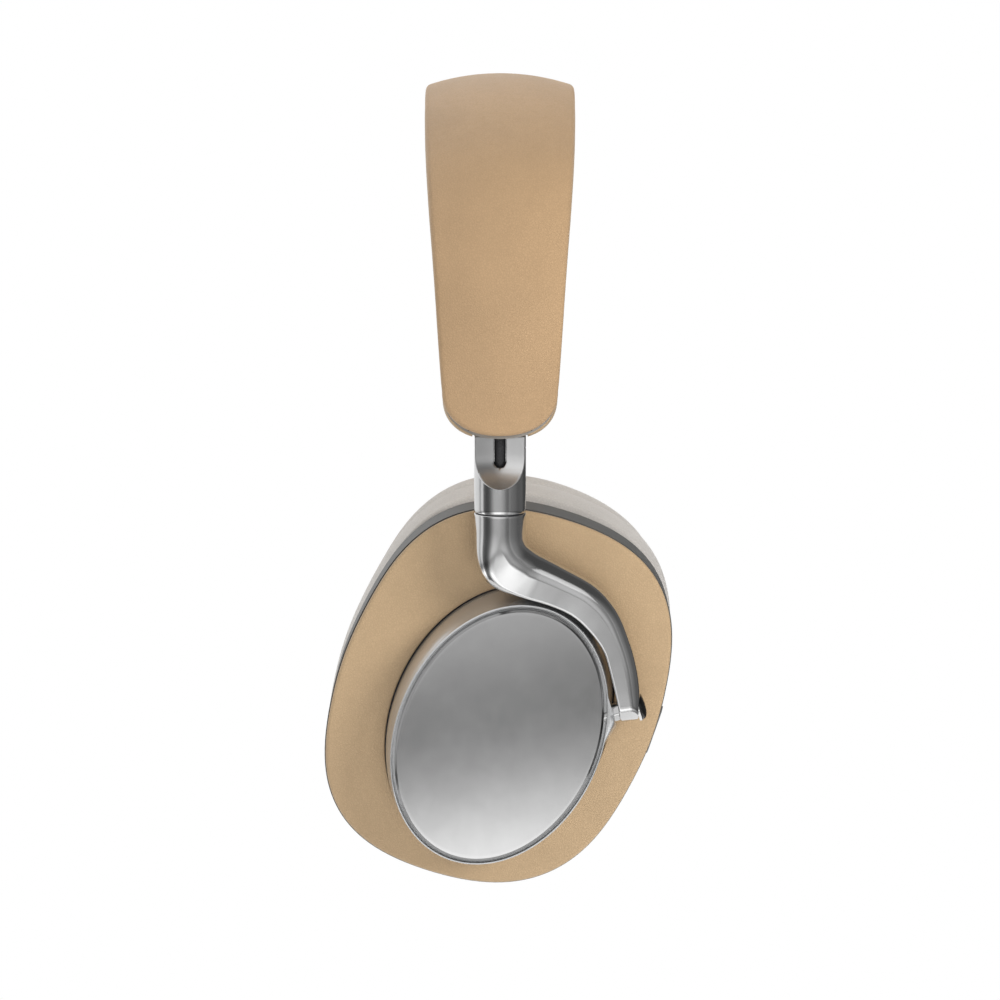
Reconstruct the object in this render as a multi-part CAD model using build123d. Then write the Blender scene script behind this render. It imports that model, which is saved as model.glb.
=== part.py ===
from build123d import *
import os
from math import sin, cos, radians, degrees, atan2, hypot, sqrt, exp, pi

# Over-ear headphones with a leather-covered headband, two sliding aluminium arms,
# two one-sided swivelling yokes and two tilting ear cups.
#
# Row frame, millimetres: origin at the centre of the headband's inner crown line,
# +Z up, +X towards the wearer's left ear, -Y the way the wearer faces.
#
# Everything on the left side is drawn in the cup frame: u to the back of the head,
# v up along the arm, n outward, with n = 0 on the outer face of the oval disc.
# The right side is the mirror image across the YZ plane, apart from its controls.

# ---------------------------------------------------------------- driving sizes
CROWN_TOP = 14.0            # top of the band above the origin
ARM_TILT = 6.5              # lean of each arm and cup, degrees
END_X, END_Z = 79.83, -81.6  # outer end of the cover on the band's outer line
STRAIGHT = 32.0             # straight run of the band above its end
CORNER_R = 46.0             # band's corner radius on the outer line
BAND_T = 14.0               # cover plus pad at the centre line
COVER_T = 2.8               # leather-covered shell
SECTION_R = 60.5            # crown of the cover across its width
STRIP_D, STRIP_T, STRIP_HW = 3.9, 0.8, 9.0

CUP_O = (68.69, 0.0, -157.32)   # centre of the oval disc's outer face
TUBE_R = 6.5
TUBE_N = -4.5               # arm axis below the disc face
SEAM_V = 56.0               # swivel seam
SCOOP_V0, SCOOP_V1 = 63.1, 69.4
FACET_N = -3.8
SHOULDER_V = 73.0
TONGUE_TOP_V = 109.5
TONGUE_HW, TONGUE_T = 6.5, 5.0
SLOT_HW, SLOT_D, SLOT_V = 1.55, 3.0, 67.2
CABLE_R = 1.2
PIN_R, PIN_BORE_R = 3.0, 3.05
SLIDE_TRAVEL = 22.0

PIVOT = (29.55, 5.0, -5.5)  # a point on the cup's tilt axis
PIVOT_DIR = 16.0            # its direction in the u-v plane, degrees from u
PIVOT_R, LUG_BORE_R = 2.4, 2.45

DISC_C, DISC_A, DISC_B, DISC_T = (-0.17, -0.14), 33.56, 24.91, 66.3
POD_C, POD_A, POD_B, POD_T = (-0.2, 1.6), 36.2, 27.3, 65.2
POD_N = -12.6
FACE_TOP, FACE_R, FACE_BACK = -11.2, 450.0, -15.4
HOUSING_BACK = -29.0
WALL = 2.0
CUSHION_BACK = -52.0
HOUSING_GROW = 0.3           # housing wall stands this far outside the face outline
CTR = (-0.5, 7.2)           # centre of the cup outline

# cup outline: even Fourier terms of the radius about CTR
OUT = [45.986, -2.919, 3.785, -0.516, 1.254, -0.253, -0.457, 0.008, -0.076]


def radius(t, grow=0.0):
    a = radians(t)
    r = OUT[0]
    for i, k in enumerate((2, 4, 6, 8)):
        r += OUT[1 + 2 * i] * cos(k * a) + OUT[2 + 2 * i] * sin(k * a)
    return r + grow


def cushion_grow(t):
    d = (t - 78 + 180) % 360 - 180
    return 0.5 + 2.4 * exp(-(d / 40.0) ** 2)


def outline(grow=0.0, fn=None, n=48):
    pts = []
    for i in range(n):
        t = 360.0 * i / n
        r = radius(t, grow) + (fn(t) if fn else 0.0)
        pts.append((CTR[0] + r * cos(radians(t)), CTR[1] + r * sin(radians(t))))
    return make_face(Spline(*pts, periodic=True))


def prism(face, n0, n1):
    """face drawn in the u-v plane, extruded from n0 up to n1"""
    return extrude(Pos(0, 0, n0) * face, amount=n1 - n0, dir=(0, 0, 1))


def box(u0, u1, v0, v1, n0, n1):
    return Pos((u0 + u1) / 2, (v0 + v1) / 2, (n0 + n1) / 2) * Box(u1 - u0, v1 - v0, n1 - n0)


def ellipse_face(c, a, b, ang):
    return Pos(c[0], c[1], 0) * Rot(0, 0, ang) * Ellipse(a, b)


def rod(p, d, r, a0, a1):
    """cylinder of radius r along direction d from p + a0 d to p + a1 d"""
    pl = Plane(origin=(p[0] + d[0] * a0, p[1] + d[1] * a0, p[2] + d[2] * a0), z_dir=d)
    return extrude(pl * Circle(r), amount=a1 - a0)


cup_frame = Plane(origin=CUP_O, x_dir=(0, 1, 0),
                  z_dir=(cos(radians(ARM_TILT)), 0, -sin(radians(ARM_TILT))))
parts = {}


def put_left(name, shape):
    parts[name + "_left"] = cup_frame * shape


def put_right(name, shape):
    parts[name + "_right"] = mirror(cup_frame * shape, about=Plane.YZ)


def put_both(name, shape):
    put_left(name, shape)
    put_right(name, shape)


# ---------------------------------------------------------------- headband arch
tl = radians(ARM_TILT)
P1 = (END_X + STRAIGHT * sin(tl), END_Z + STRAIGHT * cos(tl))
C2 = (P1[0] - CORNER_R * cos(tl), P1[1] + CORNER_R * sin(tl))
bz = C2[1] - CROWN_TOP
R1 = (CORNER_R ** 2 - C2[0] ** 2 - bz ** 2) / (2 * bz + 2 * CORNER_R)
C1Z = CROWN_TOP - R1
turn = atan2(C2[0], C2[1] - C1Z)
J = (R1 * sin(turn), C1Z + R1 * cos(turn))           # crown arc meets corner arc
am = (turn + pi / 2 + tl) / 2
MID = (C2[0] + CORNER_R * sin(am), C2[1] + CORNER_R * cos(am))
EXT = 6.0                                            # path runs on past the cut end
E = (END_X - EXT * sin(tl), END_Z - EXT * cos(tl))


def v3(p, sx=1):
    return (sx * p[0], 0, p[1])


QM = (R1 * sin(turn / 2), C1Z + R1 * cos(turn / 2))
# the left half of the arch, from the crown down to the end; the right half mirrors it
path = (ThreePointArc((0, 0, CROWN_TOP), v3(QM), v3(J))
        + ThreePointArc(v3(J), v3(MID), v3(P1))
        + Line(v3(P1), v3(E)))

# section plane at the crown: x across the band, y straight down into it
start = Plane(origin=(0, 0, CROWN_TOP), x_dir=(0, -1, 0), z_dir=(1, 0, 0))
sgn = -1.0


def arc_d(y, d0):
    """depth of a concentric arc at y, with depth d0 on the centre line"""
    r = SECTION_R - d0
    return SECTION_R - sqrt(r * r - y * y)


def band_section(d0, hw, d1=None, flat=None):
    """region from the arc at depth d0 down to the arc at depth d1, or to flat depth"""
    top = ThreePointArc((-hw, -sgn * arc_d(hw, d0)), (0, -sgn * d0), (hw, -sgn * arc_d(hw, d0)))
    if flat is None:
        bot = ThreePointArc((hw, -sgn * arc_d(hw, d1)), (0, -sgn * d1), (-hw, -sgn * arc_d(hw, d1)))
        e0, e1 = arc_d(hw, d1), arc_d(hw, d1)
    else:
        bot = Line((hw, -sgn * flat), (-hw, -sgn * flat))
        e0 = e1 = flat
    s1 = Line((hw, -sgn * arc_d(hw, d0)), (hw, -sgn * e0))
    s2 = Line((-hw, -sgn * e1), (-hw, -sgn * arc_d(hw, d0)))
    return make_face(top + s1 + bot + s2)


def band_rect(d0, d1, hw):
    return Pos(0, -sgn * (d0 + d1) / 2) * Rectangle(2 * hw, d1 - d0)


def band_sweep(sec):
    return sweep(start * sec, path=path)


# half width of the band against height
HALF = [(22.0, 19.95), (8.9, 19.5), (-2.0, 19.0), (-12.6, 18.35), (-23.2, 17.68), (-33.2, 16.98),
        (-42.6, 16.38), (-53.0, 15.78), (-62.5, 15.15), (-68.0, 14.75)]


def planform(drop=0.0, inset=0.0, zmin=None):
    """plan of the band seen along X, a tapering tongue with rounded ends"""
    pts = [(w - inset, z - drop) for z, w in HALF]
    a, b, e = 14.3 - inset, 11.0, 2.2
    zc = END_Z + b - drop
    for i in range(0, 17):
        th = radians(90.0 * i / 16)
        pts.append((a * max(cos(th), 0) ** (2 / e), zc - b * sin(th) ** (2 / e)))
    pts[-1] = (0.0, pts[-1][1])
    f = make_face(Polyline(*pts, *[(-p[0], p[1]) for p in reversed(pts[:-1])], pts[0]))
    pl = Plane(origin=(0, 0, 0), x_dir=(0, 1, 0), z_dir=(1, 0, 0))
    return Pos(-1, 0, 0) * extrude(pl * f, amount=115)


def whole(half):
    """the left half and its mirror image as one solid"""
    return (half + mirror(half, about=Plane.YZ)).clean()


LOW = Pos(60, 0, -66 - 40) * Box(200, 100, 80)          # below z = -66
cover = band_sweep(band_section(0.0, 22.0, COVER_T)) & planform()
strip_sol = band_sweep(band_rect(STRIP_D, STRIP_D + STRIP_T, STRIP_HW)) - (Pos(60, 0, -65 - 40) * Box(200, 100, 80))
link_sol = band_sweep(band_rect(5.0, 5.8, 2.0)) - (Pos(60, 0, -38 - 40) * Box(200, 100, 80))
trim_sol = (band_sweep(band_section(COVER_T + 0.02, 22.0, COVER_T + 1.4)) & planform(drop=0.6, inset=0.15)) & LOW
# pad: the full solid first, then the channels for the strip, the cable and the end trims
pad = band_sweep(band_section(COVER_T + 0.1, 22.0, flat=BAND_T)) & planform(drop=1.3, inset=0.35)
pad = pad + mirror(pad, about=Plane.YZ)
for cut in (band_rect(1.0, STRIP_D + STRIP_T + 0.2, STRIP_HW + 0.4), band_rect(1.0, 6.0, 2.4)):
    c = band_sweep(cut)
    pad = pad - (c + mirror(c, about=Plane.YZ))
c = band_sweep(band_section(1.0, 23.0, COVER_T + 1.45)) & (Pos(60, 0, -65.8 - 40) * Box(200, 100, 80))
pad = pad - c - mirror(c, about=Plane.YZ)


def dn(d):
    return 2.5 - d


# guides: channels that the tongues of the arms slide in, with screw ears
G0, G1 = 77.8, 110.2
guide = box(-8.4, 8.4, G0, G1, dn(12.6), dn(5.0))
guide += box(-13.0, 13.0, 81.0, 106.0, dn(6.8), dn(5.0))
guide -= box(-TONGUE_HW - 0.15, TONGUE_HW + 0.15, G0 - 1, G1 + 1, dn(11.45), dn(6.15))
GS = [(-11.0, 85.0), (11.0, 85.0), (-11.0, 102.0), (11.0, 102.0)]
screws = []
for (su, sv) in GS:
    guide -= Pos(su, sv, dn(6)) * Cylinder(1.1, 6)
    screws.append(Pos(su, sv, dn(7.4)) * Cylinder(1.8, 1.2) + Pos(su, sv, dn(5.2)) * Cylinder(0.95, 3.8))
    cover -= cup_frame * (Pos(su, sv, dn(3.4 + 1.5)) * Cylinder(1.0, 3.6))
put_both("slider_guide", guide)
put_both("guide_screws", Compound(children=[s.solids()[0] for s in screws]))

pocket = box(-8.6, 8.6, 76.9, 114.0, dn(12.8), dn(3.0))
pocket += box(-13.3, 13.3, 80.6, 106.4, dn(8.3), dn(3.0))
pocket += box(-TONGUE_HW - 0.4, TONGUE_HW + 0.4, 60.0, 80.0, dn(11.7), dn(3.0))
pk = cup_frame * pocket
pad = pad - pk - mirror(pk, about=Plane.YZ)
trim_sol -= cup_frame * box(-13.3, 13.3, 80.6, 106.4, dn(9.0), dn(4.85))
trim_sol -= cup_frame * box(-8.6, 8.6, 70.0, 106.4, dn(9.0), dn(4.85))
for (su, sv) in GS:
    trim_sol -= cup_frame * (Pos(su, sv, dn(4.5)) * Cylinder(1.1, 6.0))
trim_sol = max(trim_sol.solids(), key=lambda q: q.volume)
parts["band_end_trim_left"] = trim_sol
parts["band_end_trim_right"] = mirror(trim_sol, about=Plane.YZ)
parts["headband_outer_cover"] = whole(cover)
parts["headband_spring_strip"] = whole(strip_sol)
parts["headband_link_cable"] = whole(link_sol)
parts["headband_inner_pad"] = pad

# ---------------------------------------------------------------- sliding arm
vn = Plane(origin=(0, 0, 0), x_dir=(0, 1, 0), z_dir=(1, 0, 0))   # v across, n up, drawn on u
arm = rod((0, SEAM_V + 0.6, TUBE_N), (0, 1, 0), TUBE_R, 0, SHOULDER_V - SEAM_V - 0.6)
prof = (ThreePointArc((SCOOP_V0 - 0.6, 2.6), (65.4, -1.3), (SCOOP_V1, FACET_N))
        + Line((SCOOP_V1, FACET_N), (90, FACET_N)) + Line((90, FACET_N), (90, 2.6))
        + Line((90, 2.6), (SCOOP_V0 - 0.6, 2.6)))
arm -= extrude(vn * make_face(prof), amount=8, both=True)
tongue = box(-TONGUE_HW, TONGUE_HW, 70.5, TONGUE_TOP_V, FACET_N - TONGUE_T, FACET_N)
tongue = fillet(tongue.edges().filter_by(Axis.Y).group_by(Axis.Z)[0], 1.5)
arm += tongue
slot = box(-SLOT_HW, SLOT_HW, SLOT_V + SLOT_HW, 130, FACET_N - SLOT_D, 6)
slot += Pos(0, SLOT_V + SLOT_HW, (FACET_N - SLOT_D + 6) / 2) * Cylinder(SLOT_HW, 6 - FACET_N + SLOT_D)
arm -= slot
arm -= rod((0, 0, TUBE_N), (0, 1, 0), PIN_R, SEAM_V - 1, 63.2)
cab = Spline((0, 58.5, TUBE_N), (0, 61.5, TUBE_N), (0, 65.5, -5.0), (0, 69.0, -5.3), (0, 72.0, -5.3),
             tangents=[(0, 1, 0), (0, 1, 0)])
cable_low = sweep(Plane(origin=(0, 58.5, TUBE_N), z_dir=(0, 1, 0)) * Circle(CABLE_R), path=cab)
hole_low = sweep(Plane(origin=(0, 58.5, TUBE_N), z_dir=(0, 1, 0)) * Circle(CABLE_R + 0.15), path=cab)
arm -= hole_low
cable = cable_low + rod((0, 72.0, -5.3), (0, 1, 0), CABLE_R, 0, 38.5)
put_both("slider_arm", arm)
put_both("arm_cable", cable)
pin = rod((0, 0, TUBE_N), (0, 1, 0), PIN_R, 49.2, 63.2) - rod((0, 0, TUBE_N), (0, 1, 0), 1.5, 49.0, 64.0)
put_both("swivel_pin", pin)
washer = rod((0, 0, TUBE_N), (0, 1, 0), TUBE_R - 0.3, SEAM_V + 0.06, SEAM_V + 0.6)
washer -= rod((0, 0, TUBE_N), (0, 1, 0), PIN_R, SEAM_V, SEAM_V + 1)
put_both("swivel_washer", washer)

# ---------------------------------------------------------------- yoke arm
# ribs: inner edge, outer edge, outer level, back level,
# radii inner-top, outer-top, outer-back, inner-back
RIBS = [
    ((-6.5, 50.5), (6.5, 51.0), 2.0, -11.0, 6.44, 6.44, 6.44, 6.44),
    ((-6.5, 48.0), (6.5, 49.6), 2.0, -10.9, 6.2, 6.3, 6.3, 6.3),
    ((-6.4, 45.4), (6.8, 48.4), 2.0, -10.7, 5.6, 6.1, 6.2, 6.2),
    ((-5.4, 41.9), (7.3, 47.7), 1.9, -10.5, 4.6, 6.0, 6.0, 5.8),
    ((-3.4, 39.2), (8.0, 47.1), 1.75, -10.3, 3.4, 6.0, 5.6, 5.4),
    ((-0.4, 37.4), (8.9, 46.4), 1.5, -10.1, 2.2, 5.8, 5.2, 5.0),
    ((3.2, 36.2), (9.8, 45.8), 1.15, -10.0, 1.4, 5.4, 4.8, 4.6),
    ((6.8, 35.0), (11.4, 44.9), 0.75, -9.9, 1.0, 4.9, 4.2, 4.2),
    ((12.6, 33.2), (17.0, 41.9), 0.25, -9.8, 0.9, 4.3, 3.6, 3.8),
    ((18.2, 30.5), (24.4, 37.5), -0.1, -9.7, 0.9, 4.0, 3.4, 3.4),
    ((22.7, 26.3), (29.7, 31.2), -0.3, -9.6, 0.9, 3.6, 3.2, 3.0),
    ((26.1, 21.4), (32.8, 23.6), -0.38, -9.5, 0.9, 3.0, 2.8, 2.6),
    ((27.8, 15.7), (34.5, 17.3), -0.42, -9.4, 0.9, 2.6, 2.4, 2.2),
    ((29.1, 10.3), (35.3, 11.5), -0.46, -9.3, 0.9, 2.2, 2.2, 2.0),
    ((29.8, 6.6), (35.4, 7.7), -0.5, -9.2, 0.9, 2.0, 2.0, 2.0),
    ((30.1, 3.0), (35.3, 3.5), -0.6, -9.1, 0.9, 1.8, 1.8, 1.8),
]


def rib_face(p_in, p_out, nt, nb, rit, rot, rob, rib):
    w = hypot(p_out[0] - p_in[0], p_out[1] - p_in[1])
    ex = ((p_out[0] - p_in[0]) / w, (p_out[1] - p_in[1]) / w)
    pl = Plane(origin=(p_in[0], p_in[1], 0), x_dir=(ex[0], ex[1], 0), z_dir=(ex[1], -ex[0], 0))
    k = 0.7071

    def arc(cx, cy, r, a0):
        # quarter turn clockwise starting at angle a0
        p = []
        for a in (a0, a0 - 45, a0 - 90):
            p.append((cx + r * cos(radians(a)), cy + r * sin(radians(a))))
        return ThreePointArc(*p)
    e = (Line((rit, nt), (w - rot, nt)) + arc(w - rot, nt - rot, rot, 90)
         + Line((w, nt - rot), (w, nb + rob)) + arc(w - rob, nb + rob, rob, 0)
         + Line((w - rob, nb), (rib, nb)) + arc(rib, nb + rib, rib, -90)
         + Line((0, nb + rib), (0, nt - rit)) + arc(rit, nt - rit, rit, 180))
    return pl * make_face(e)


faces = [rib_face(*r) for r in RIBS]
CAP_R = 3.6                  # pivot cap radius
yoke = loft(faces, ruled=True)
yoke += rod((0, 0, TUBE_N), (0, 1, 0), TUBE_R, 50.4, SEAM_V)
yoke -= rod((0, 0, TUBE_N), (0, 1, 0), PIN_BORE_R, 49.0, 60.0)
pd = (cos(radians(PIVOT_DIR)), sin(radians(PIVOT_DIR)), 0)
yoke -= rod(PIVOT, pd, PIVOT_R, -6.0, 5.6)
yoke -= rod(PIVOT, pd, CAP_R + 0.1, 5.6, 12.0)
put_both("yoke_arm", yoke)
put_both("pivot_pin", rod(PIVOT, pd, PIVOT_R, -5.6, 5.6))
cap = rod(PIVOT, pd, CAP_R, 5.6, 7.0)
capd = Plane(origin=tuple(PIVOT[i] + pd[i] * 7.0 for i in range(3)), z_dir=pd)
cap += extrude(capd * Circle(CAP_R - 0.4), amount=0.8, taper=30)
put_both("pivot_cap", cap)

# ---------------------------------------------------------------- ear cup
face = prism(outline(), FACE_BACK, -8.0)
face = face & (Pos(CTR[0], CTR[1], FACE_TOP - FACE_R) * Sphere(FACE_R))
face -= prism(ellipse_face(POD_C, POD_A - 0.9, POD_B - 0.9, POD_T), FACE_BACK - 1, 0)
face -= prism(ellipse_face(POD_C, POD_A + 0.04, POD_B + 0.04, POD_T), POD_N - 0.45, 0)

# pod: loft from its base on the face up to the rim round the disc
pod_out = loft([Pos(0, 0, FACE_BACK) * ellipse_face(POD_C, POD_A - 1.0, POD_B - 1.0, POD_T),
                Pos(0, 0, POD_N - 0.3) * ellipse_face(POD_C, POD_A - 1.0, POD_B - 1.0, POD_T)], ruled=True)
pod_out += loft([Pos(0, 0, POD_N - 0.35) * ellipse_face(POD_C, POD_A, POD_B, POD_T),
                 Pos(0, 0, POD_N + 0.4) * ellipse_face(POD_C, POD_A - 0.25, POD_B - 0.25, POD_T),
                 Pos(0, 0, -6.5) * ellipse_face((-0.18, 0.6), 34.75, 26.05, 65.8),
                 Pos(0, 0, -1.4) * ellipse_face(DISC_C, DISC_A + 0.55, DISC_B + 0.55, DISC_T)], ruled=False)
lug = rod(PIVOT, pd, 4.3, -8.0, -1.4)
lug_taper = loft([Plane(origin=tuple(PIVOT[i] - pd[i] * 7.0 for i in range(3)), z_dir=pd) * Ellipse(6.2, 5.6),
                  Plane(origin=tuple(PIVOT[i] - pd[i] * 1.6 for i in range(3)), z_dir=pd) * Circle(4.0)], ruled=True)
pod = pod_out + lug + lug_taper
pod -= prism(ellipse_face((-0.2, 0.7), DISC_A - 1.6, DISC_B - 1.6, 66.0), FACE_BACK - 1, -3.4)
pod += rod(PIVOT, pd, 4.3, -9.5, -1.4) - prism(ellipse_face(DISC_C, DISC_A - 6, DISC_B - 6, DISC_T), -20, 0)
pod -= rod(PIVOT, pd, LUG_BORE_R, -8.0, 4.0)
pod -= prism(ellipse_face(DISC_C, DISC_A + 0.12, DISC_B + 0.12, DISC_T), -2.4, 3.0)
pod -= prism(ellipse_face(DISC_C, DISC_A - 4.0, DISC_B - 4.0, DISC_T), -5.0, 3.0)
pod = max(pod.solids(), key=lambda s: s.volume)

disc = prism(ellipse_face(DISC_C, DISC_A, DISC_B, DISC_T), -2.4, 0.0)
disc = chamfer(disc.edges().group_by(Axis.Z)[-1], 0.85)

housing = prism(outline(HOUSING_GROW), HOUSING_BACK, FACE_BACK)
housing -= prism(outline(HOUSING_GROW - WALL), HOUSING_BACK - 1, FACE_BACK - 1.8)
housing -= Pos(CTR[0], CTR[1] - 6, FACE_BACK) * Cylinder(7.0, 8)        # wire passage to the pod
POSTS = [(CTR[0] + 27.0, CTR[1] + 24.0), (CTR[0] - 27.0, CTR[1] + 24.0),
         (CTR[0] + 27.0, CTR[1] - 24.0), (CTR[0] - 27.0, CTR[1] - 24.0)]
for p in POSTS:
    housing += Pos(p[0], p[1], (FACE_BACK - 1.0 - 27.0) / 2) * Cylinder(2.6, 27.0 + FACE_BACK - 1.0)
    housing -= Pos(p[0], p[1], -24.5) * Cylinder(0.8, 5.2)

baffle = prism(outline(HOUSING_GROW - WALL - 0.1), HOUSING_BACK, HOUSING_BACK + 2.0)
baffle -= Pos(CTR[0], CTR[1], -28) * Cylinder(20.2, 8)
bs = []
for p in POSTS:
    baffle -= Pos(p[0], p[1], -28) * Cylinder(1.1, 8)
    baffle -= Pos(p[0], p[1], -28.5) * Cylinder(2.0, 1.2)
    bs.append(Pos(p[0], p[1], -28.45) * Cylinder(1.85, 0.9) + Pos(p[0], p[1], -25.9) * Cylinder(0.78, 4.6))
screws_b = Compound(children=[s.solids()[0] for s in bs])

# 40 mm driver: flange on the baffle, cone, basket and magnet
dc = Plane(origin=(CTR[0], CTR[1], 0), x_dir=(1, 0, 0), z_dir=(0, -1, 0))   # x = radius, y = n
dp = Polyline((0, -18.0), (13, -18.0), (13, -20.6), (19.6, -23.4), (19.6, -25.0), (23.0, -25.0), (23.0, -27.0),
              (19.8, -27.0), (19.0, -26.4), (8.5, -23.6), (7.5, -24.2), (0, -25.6), (0, -18.0))
if dc.y_dir.Z < 0:
    dc = Plane(origin=(CTR[0], CTR[1], 0), x_dir=(-1, 0, 0), z_dir=(0, 1, 0))
driver = revolve(dc * make_face(dp), axis=Axis((CTR[0], CTR[1], 0), (0, 0, 1)))
grille = Pos(CTR[0], CTR[1], -29.35) * Cylinder(21.4, 0.5)

EAR_A, EAR_B = 31.0, 22.5
plate = prism(outline(-0.7), -30.7, HOUSING_BACK - 0.1)
plate -= prism(ellipse_face(CTR, EAR_A + 0.6, EAR_B + 0.6, 93.0), -32, -28)
cushion = prism(outline(0.0, cushion_grow), CUSHION_BACK, -30.8)
try:
    cushion = fillet(cushion.edges().group_by(Axis.Z)[0], 7.0)
except Exception:
    cushion = chamfer(cushion.edges().group_by(Axis.Z)[0], 5.0)
cushion -= prism(ellipse_face(CTR, EAR_A, EAR_B, 93.0), CUSHION_BACK - 2, -29)


# controls in the rim: a frame on the housing's outer wall at angle t
def rim(t, n=-21.8):
    def pt(a):
        r = radius(a, HOUSING_GROW)
        return (CTR[0] + r * cos(radians(a)), CTR[1] + r * sin(radians(a)))
    p0, p1, p = pt(t - 0.5), pt(t + 0.5), pt(t)
    tx, ty = p1[0] - p0[0], p1[1] - p0[1]
    L = hypot(tx, ty)
    tx, ty = tx / L, ty / L
    return Plane(origin=(p[0], p[1], n), x_dir=(tx, ty, 0), z_dir=(ty, -tx, 0))


def pill(pl, length, width, z0, z1):
    f = SlotOverall(length, width) if length > width + 0.01 else Circle(width / 2)
    return pl * extrude(Pos(0, 0, z0) * f, amount=z1 - z0)


def button(t, length, width, proud):
    pl = rim(t)
    b = pill(pl, length, width, -2.9, proud)
    b += pill(pl, length + 1.8, width + 1.4, -3.5, -2.7)
    return b


def button_hole(t, length, width):
    return pill(rim(t), length + 0.4, width + 0.4, -5.0, 3.0)


QUICK_T = -14.0
VOL_UP_T, MULTI_T, VOL_DN_T, POWER_T = 17.0, 3.5, -10.0, -26.5
housing_l = housing - button_hole(QUICK_T, 13.0, 4.6)
housing_r = housing
for t, l, w in ((VOL_UP_T, 7.6, 4.4), (MULTI_T, 7.6, 4.4), (VOL_DN_T, 7.6, 4.4)):
    housing_r = housing_r - button_hole(t, l, w)
sw = rim(POWER_T)
housing_r = housing_r - pill(sw, 9.4, 3.6, -5.0, 3.0)
usb = rim(270.0)
housing_r = housing_r - pill(usb, 9.4, 3.6, -5.0, 3.0)

put_both("face_cover", face)
put_both("pod_bezel", pod)
put_both("disc_plate", disc)
put_left("cup_housing", housing_l)
put_right("cup_housing", housing_r)
put_both("driver_baffle", baffle)
put_both("baffle_screws", screws_b)
put_both("driver", driver)
put_both("driver_grille", grille)
put_both("cushion_plate", plate)
put_both("ear_cushion", cushion)

parts["quick_action_button"] = cup_frame * button(QUICK_T, 13.0, 4.6, 0.5)
for nm, t in (("volume_up_button", VOL_UP_T), ("multifunction_button", MULTI_T), ("volume_down_button", VOL_DN_T)):
    parts[nm] = mirror(cup_frame * button(t, 7.6, 4.4, 0.8), about=Plane.YZ)
# sliding power switch, shown at the end of its slot; it slides 3 mm along the rim
ps = sw * Pos(-2.2 + 0.7, 0, 0) * extrude(Pos(0, 0, -4.0) * SlotOverall(5.0, 3.2), amount=4.9)
ps += sw * Pos(-2.2 + 0.7, 0, 0) * extrude(Pos(0, 0, -4.4) * Rectangle(11.0, 5.2), amount=0.8)
parts["power_switch"] = mirror(cup_frame * ps, about=Plane.YZ)

# electronics
sock = pill(usb, 8.94, 3.26, -7.6, -0.4) - pill(usb, 8.3, 2.6, -6.6, 1.0)
sock += usb * extrude(Pos(0, 0, -7.0) * Rectangle(6.6, 0.7), amount=5.6)
parts["usb_c_socket"] = mirror(cup_frame * sock, about=Plane.YZ)
board = box(-17, 17, -31, -17.5, -20.12, -18.92) + box(-6, 6, -39.0, -30, -20.12, -18.92)
board += box(-13, -3, -29, -20, -18.92, -17.9) + box(3, 10, -28, -21, -18.92, -17.9)
parts["main_board"] = mirror(cup_frame * board, about=Plane.YZ)
parts["battery"] = cup_frame * fillet(box(-16, 16, -31, -17.5, -24.0, -18.0).edges().filter_by(Axis.X), 1.5)
cb_l = rim(QUICK_T) * extrude(Pos(0, 0, -8.0) * Rectangle(17.0, 8.0), amount=1.0)
cb_l += rim(QUICK_T) * extrude(Pos(0, 0, -7.0) * Rectangle(4.0, 4.0), amount=2.0)
parts["control_board_left"] = cup_frame * cb_l
cb_r = rim(MULTI_T) * extrude(Pos(0, 0, -9.0) * Rectangle(30.0, 8.0), amount=1.0)
parts["control_board_right"] = mirror(cup_frame * cb_r, about=Plane.YZ)

# ---------------------------------------------------------------- write
os.makedirs("parts", exist_ok=True)
for name, s in parts.items():
    export_step(s if isinstance(s, (Part, Compound, Solid)) else Part(s), "parts/" + name + ".step")
print(len(parts), "parts")
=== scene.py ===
import bpy
import bmesh
import math
import numpy as np
from mathutils import Vector, Matrix
from math import sin, cos, radians, pi, hypot, sqrt, exp, atan2


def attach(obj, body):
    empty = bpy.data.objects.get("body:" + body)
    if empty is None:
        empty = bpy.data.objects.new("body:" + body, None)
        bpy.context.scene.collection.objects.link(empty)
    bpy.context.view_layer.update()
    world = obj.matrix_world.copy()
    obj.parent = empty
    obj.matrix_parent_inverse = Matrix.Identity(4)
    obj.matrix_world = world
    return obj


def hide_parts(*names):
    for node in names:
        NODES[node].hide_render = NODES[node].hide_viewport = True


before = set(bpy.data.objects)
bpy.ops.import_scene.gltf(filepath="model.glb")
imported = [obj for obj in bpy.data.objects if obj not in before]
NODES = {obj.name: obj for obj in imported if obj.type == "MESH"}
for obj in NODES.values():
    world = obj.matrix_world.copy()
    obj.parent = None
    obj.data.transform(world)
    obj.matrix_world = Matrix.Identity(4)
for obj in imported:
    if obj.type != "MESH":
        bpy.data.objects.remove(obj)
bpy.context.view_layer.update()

SIDES = ("left", "right")

# ------------------------------------------------------------------ frame maths (millimetres)
TL = radians(6.5)
ST, CT = sin(TL), cos(TL)
CUP_O = (68.69, 0.0, -157.32)


def cup(u, v, n):
    """cup frame (u back, v up along the arm, n outward) to the row frame, left side, mm"""
    return (CUP_O[0] + v * ST + n * CT, u, CUP_O[2] + v * CT - n * ST)


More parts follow.
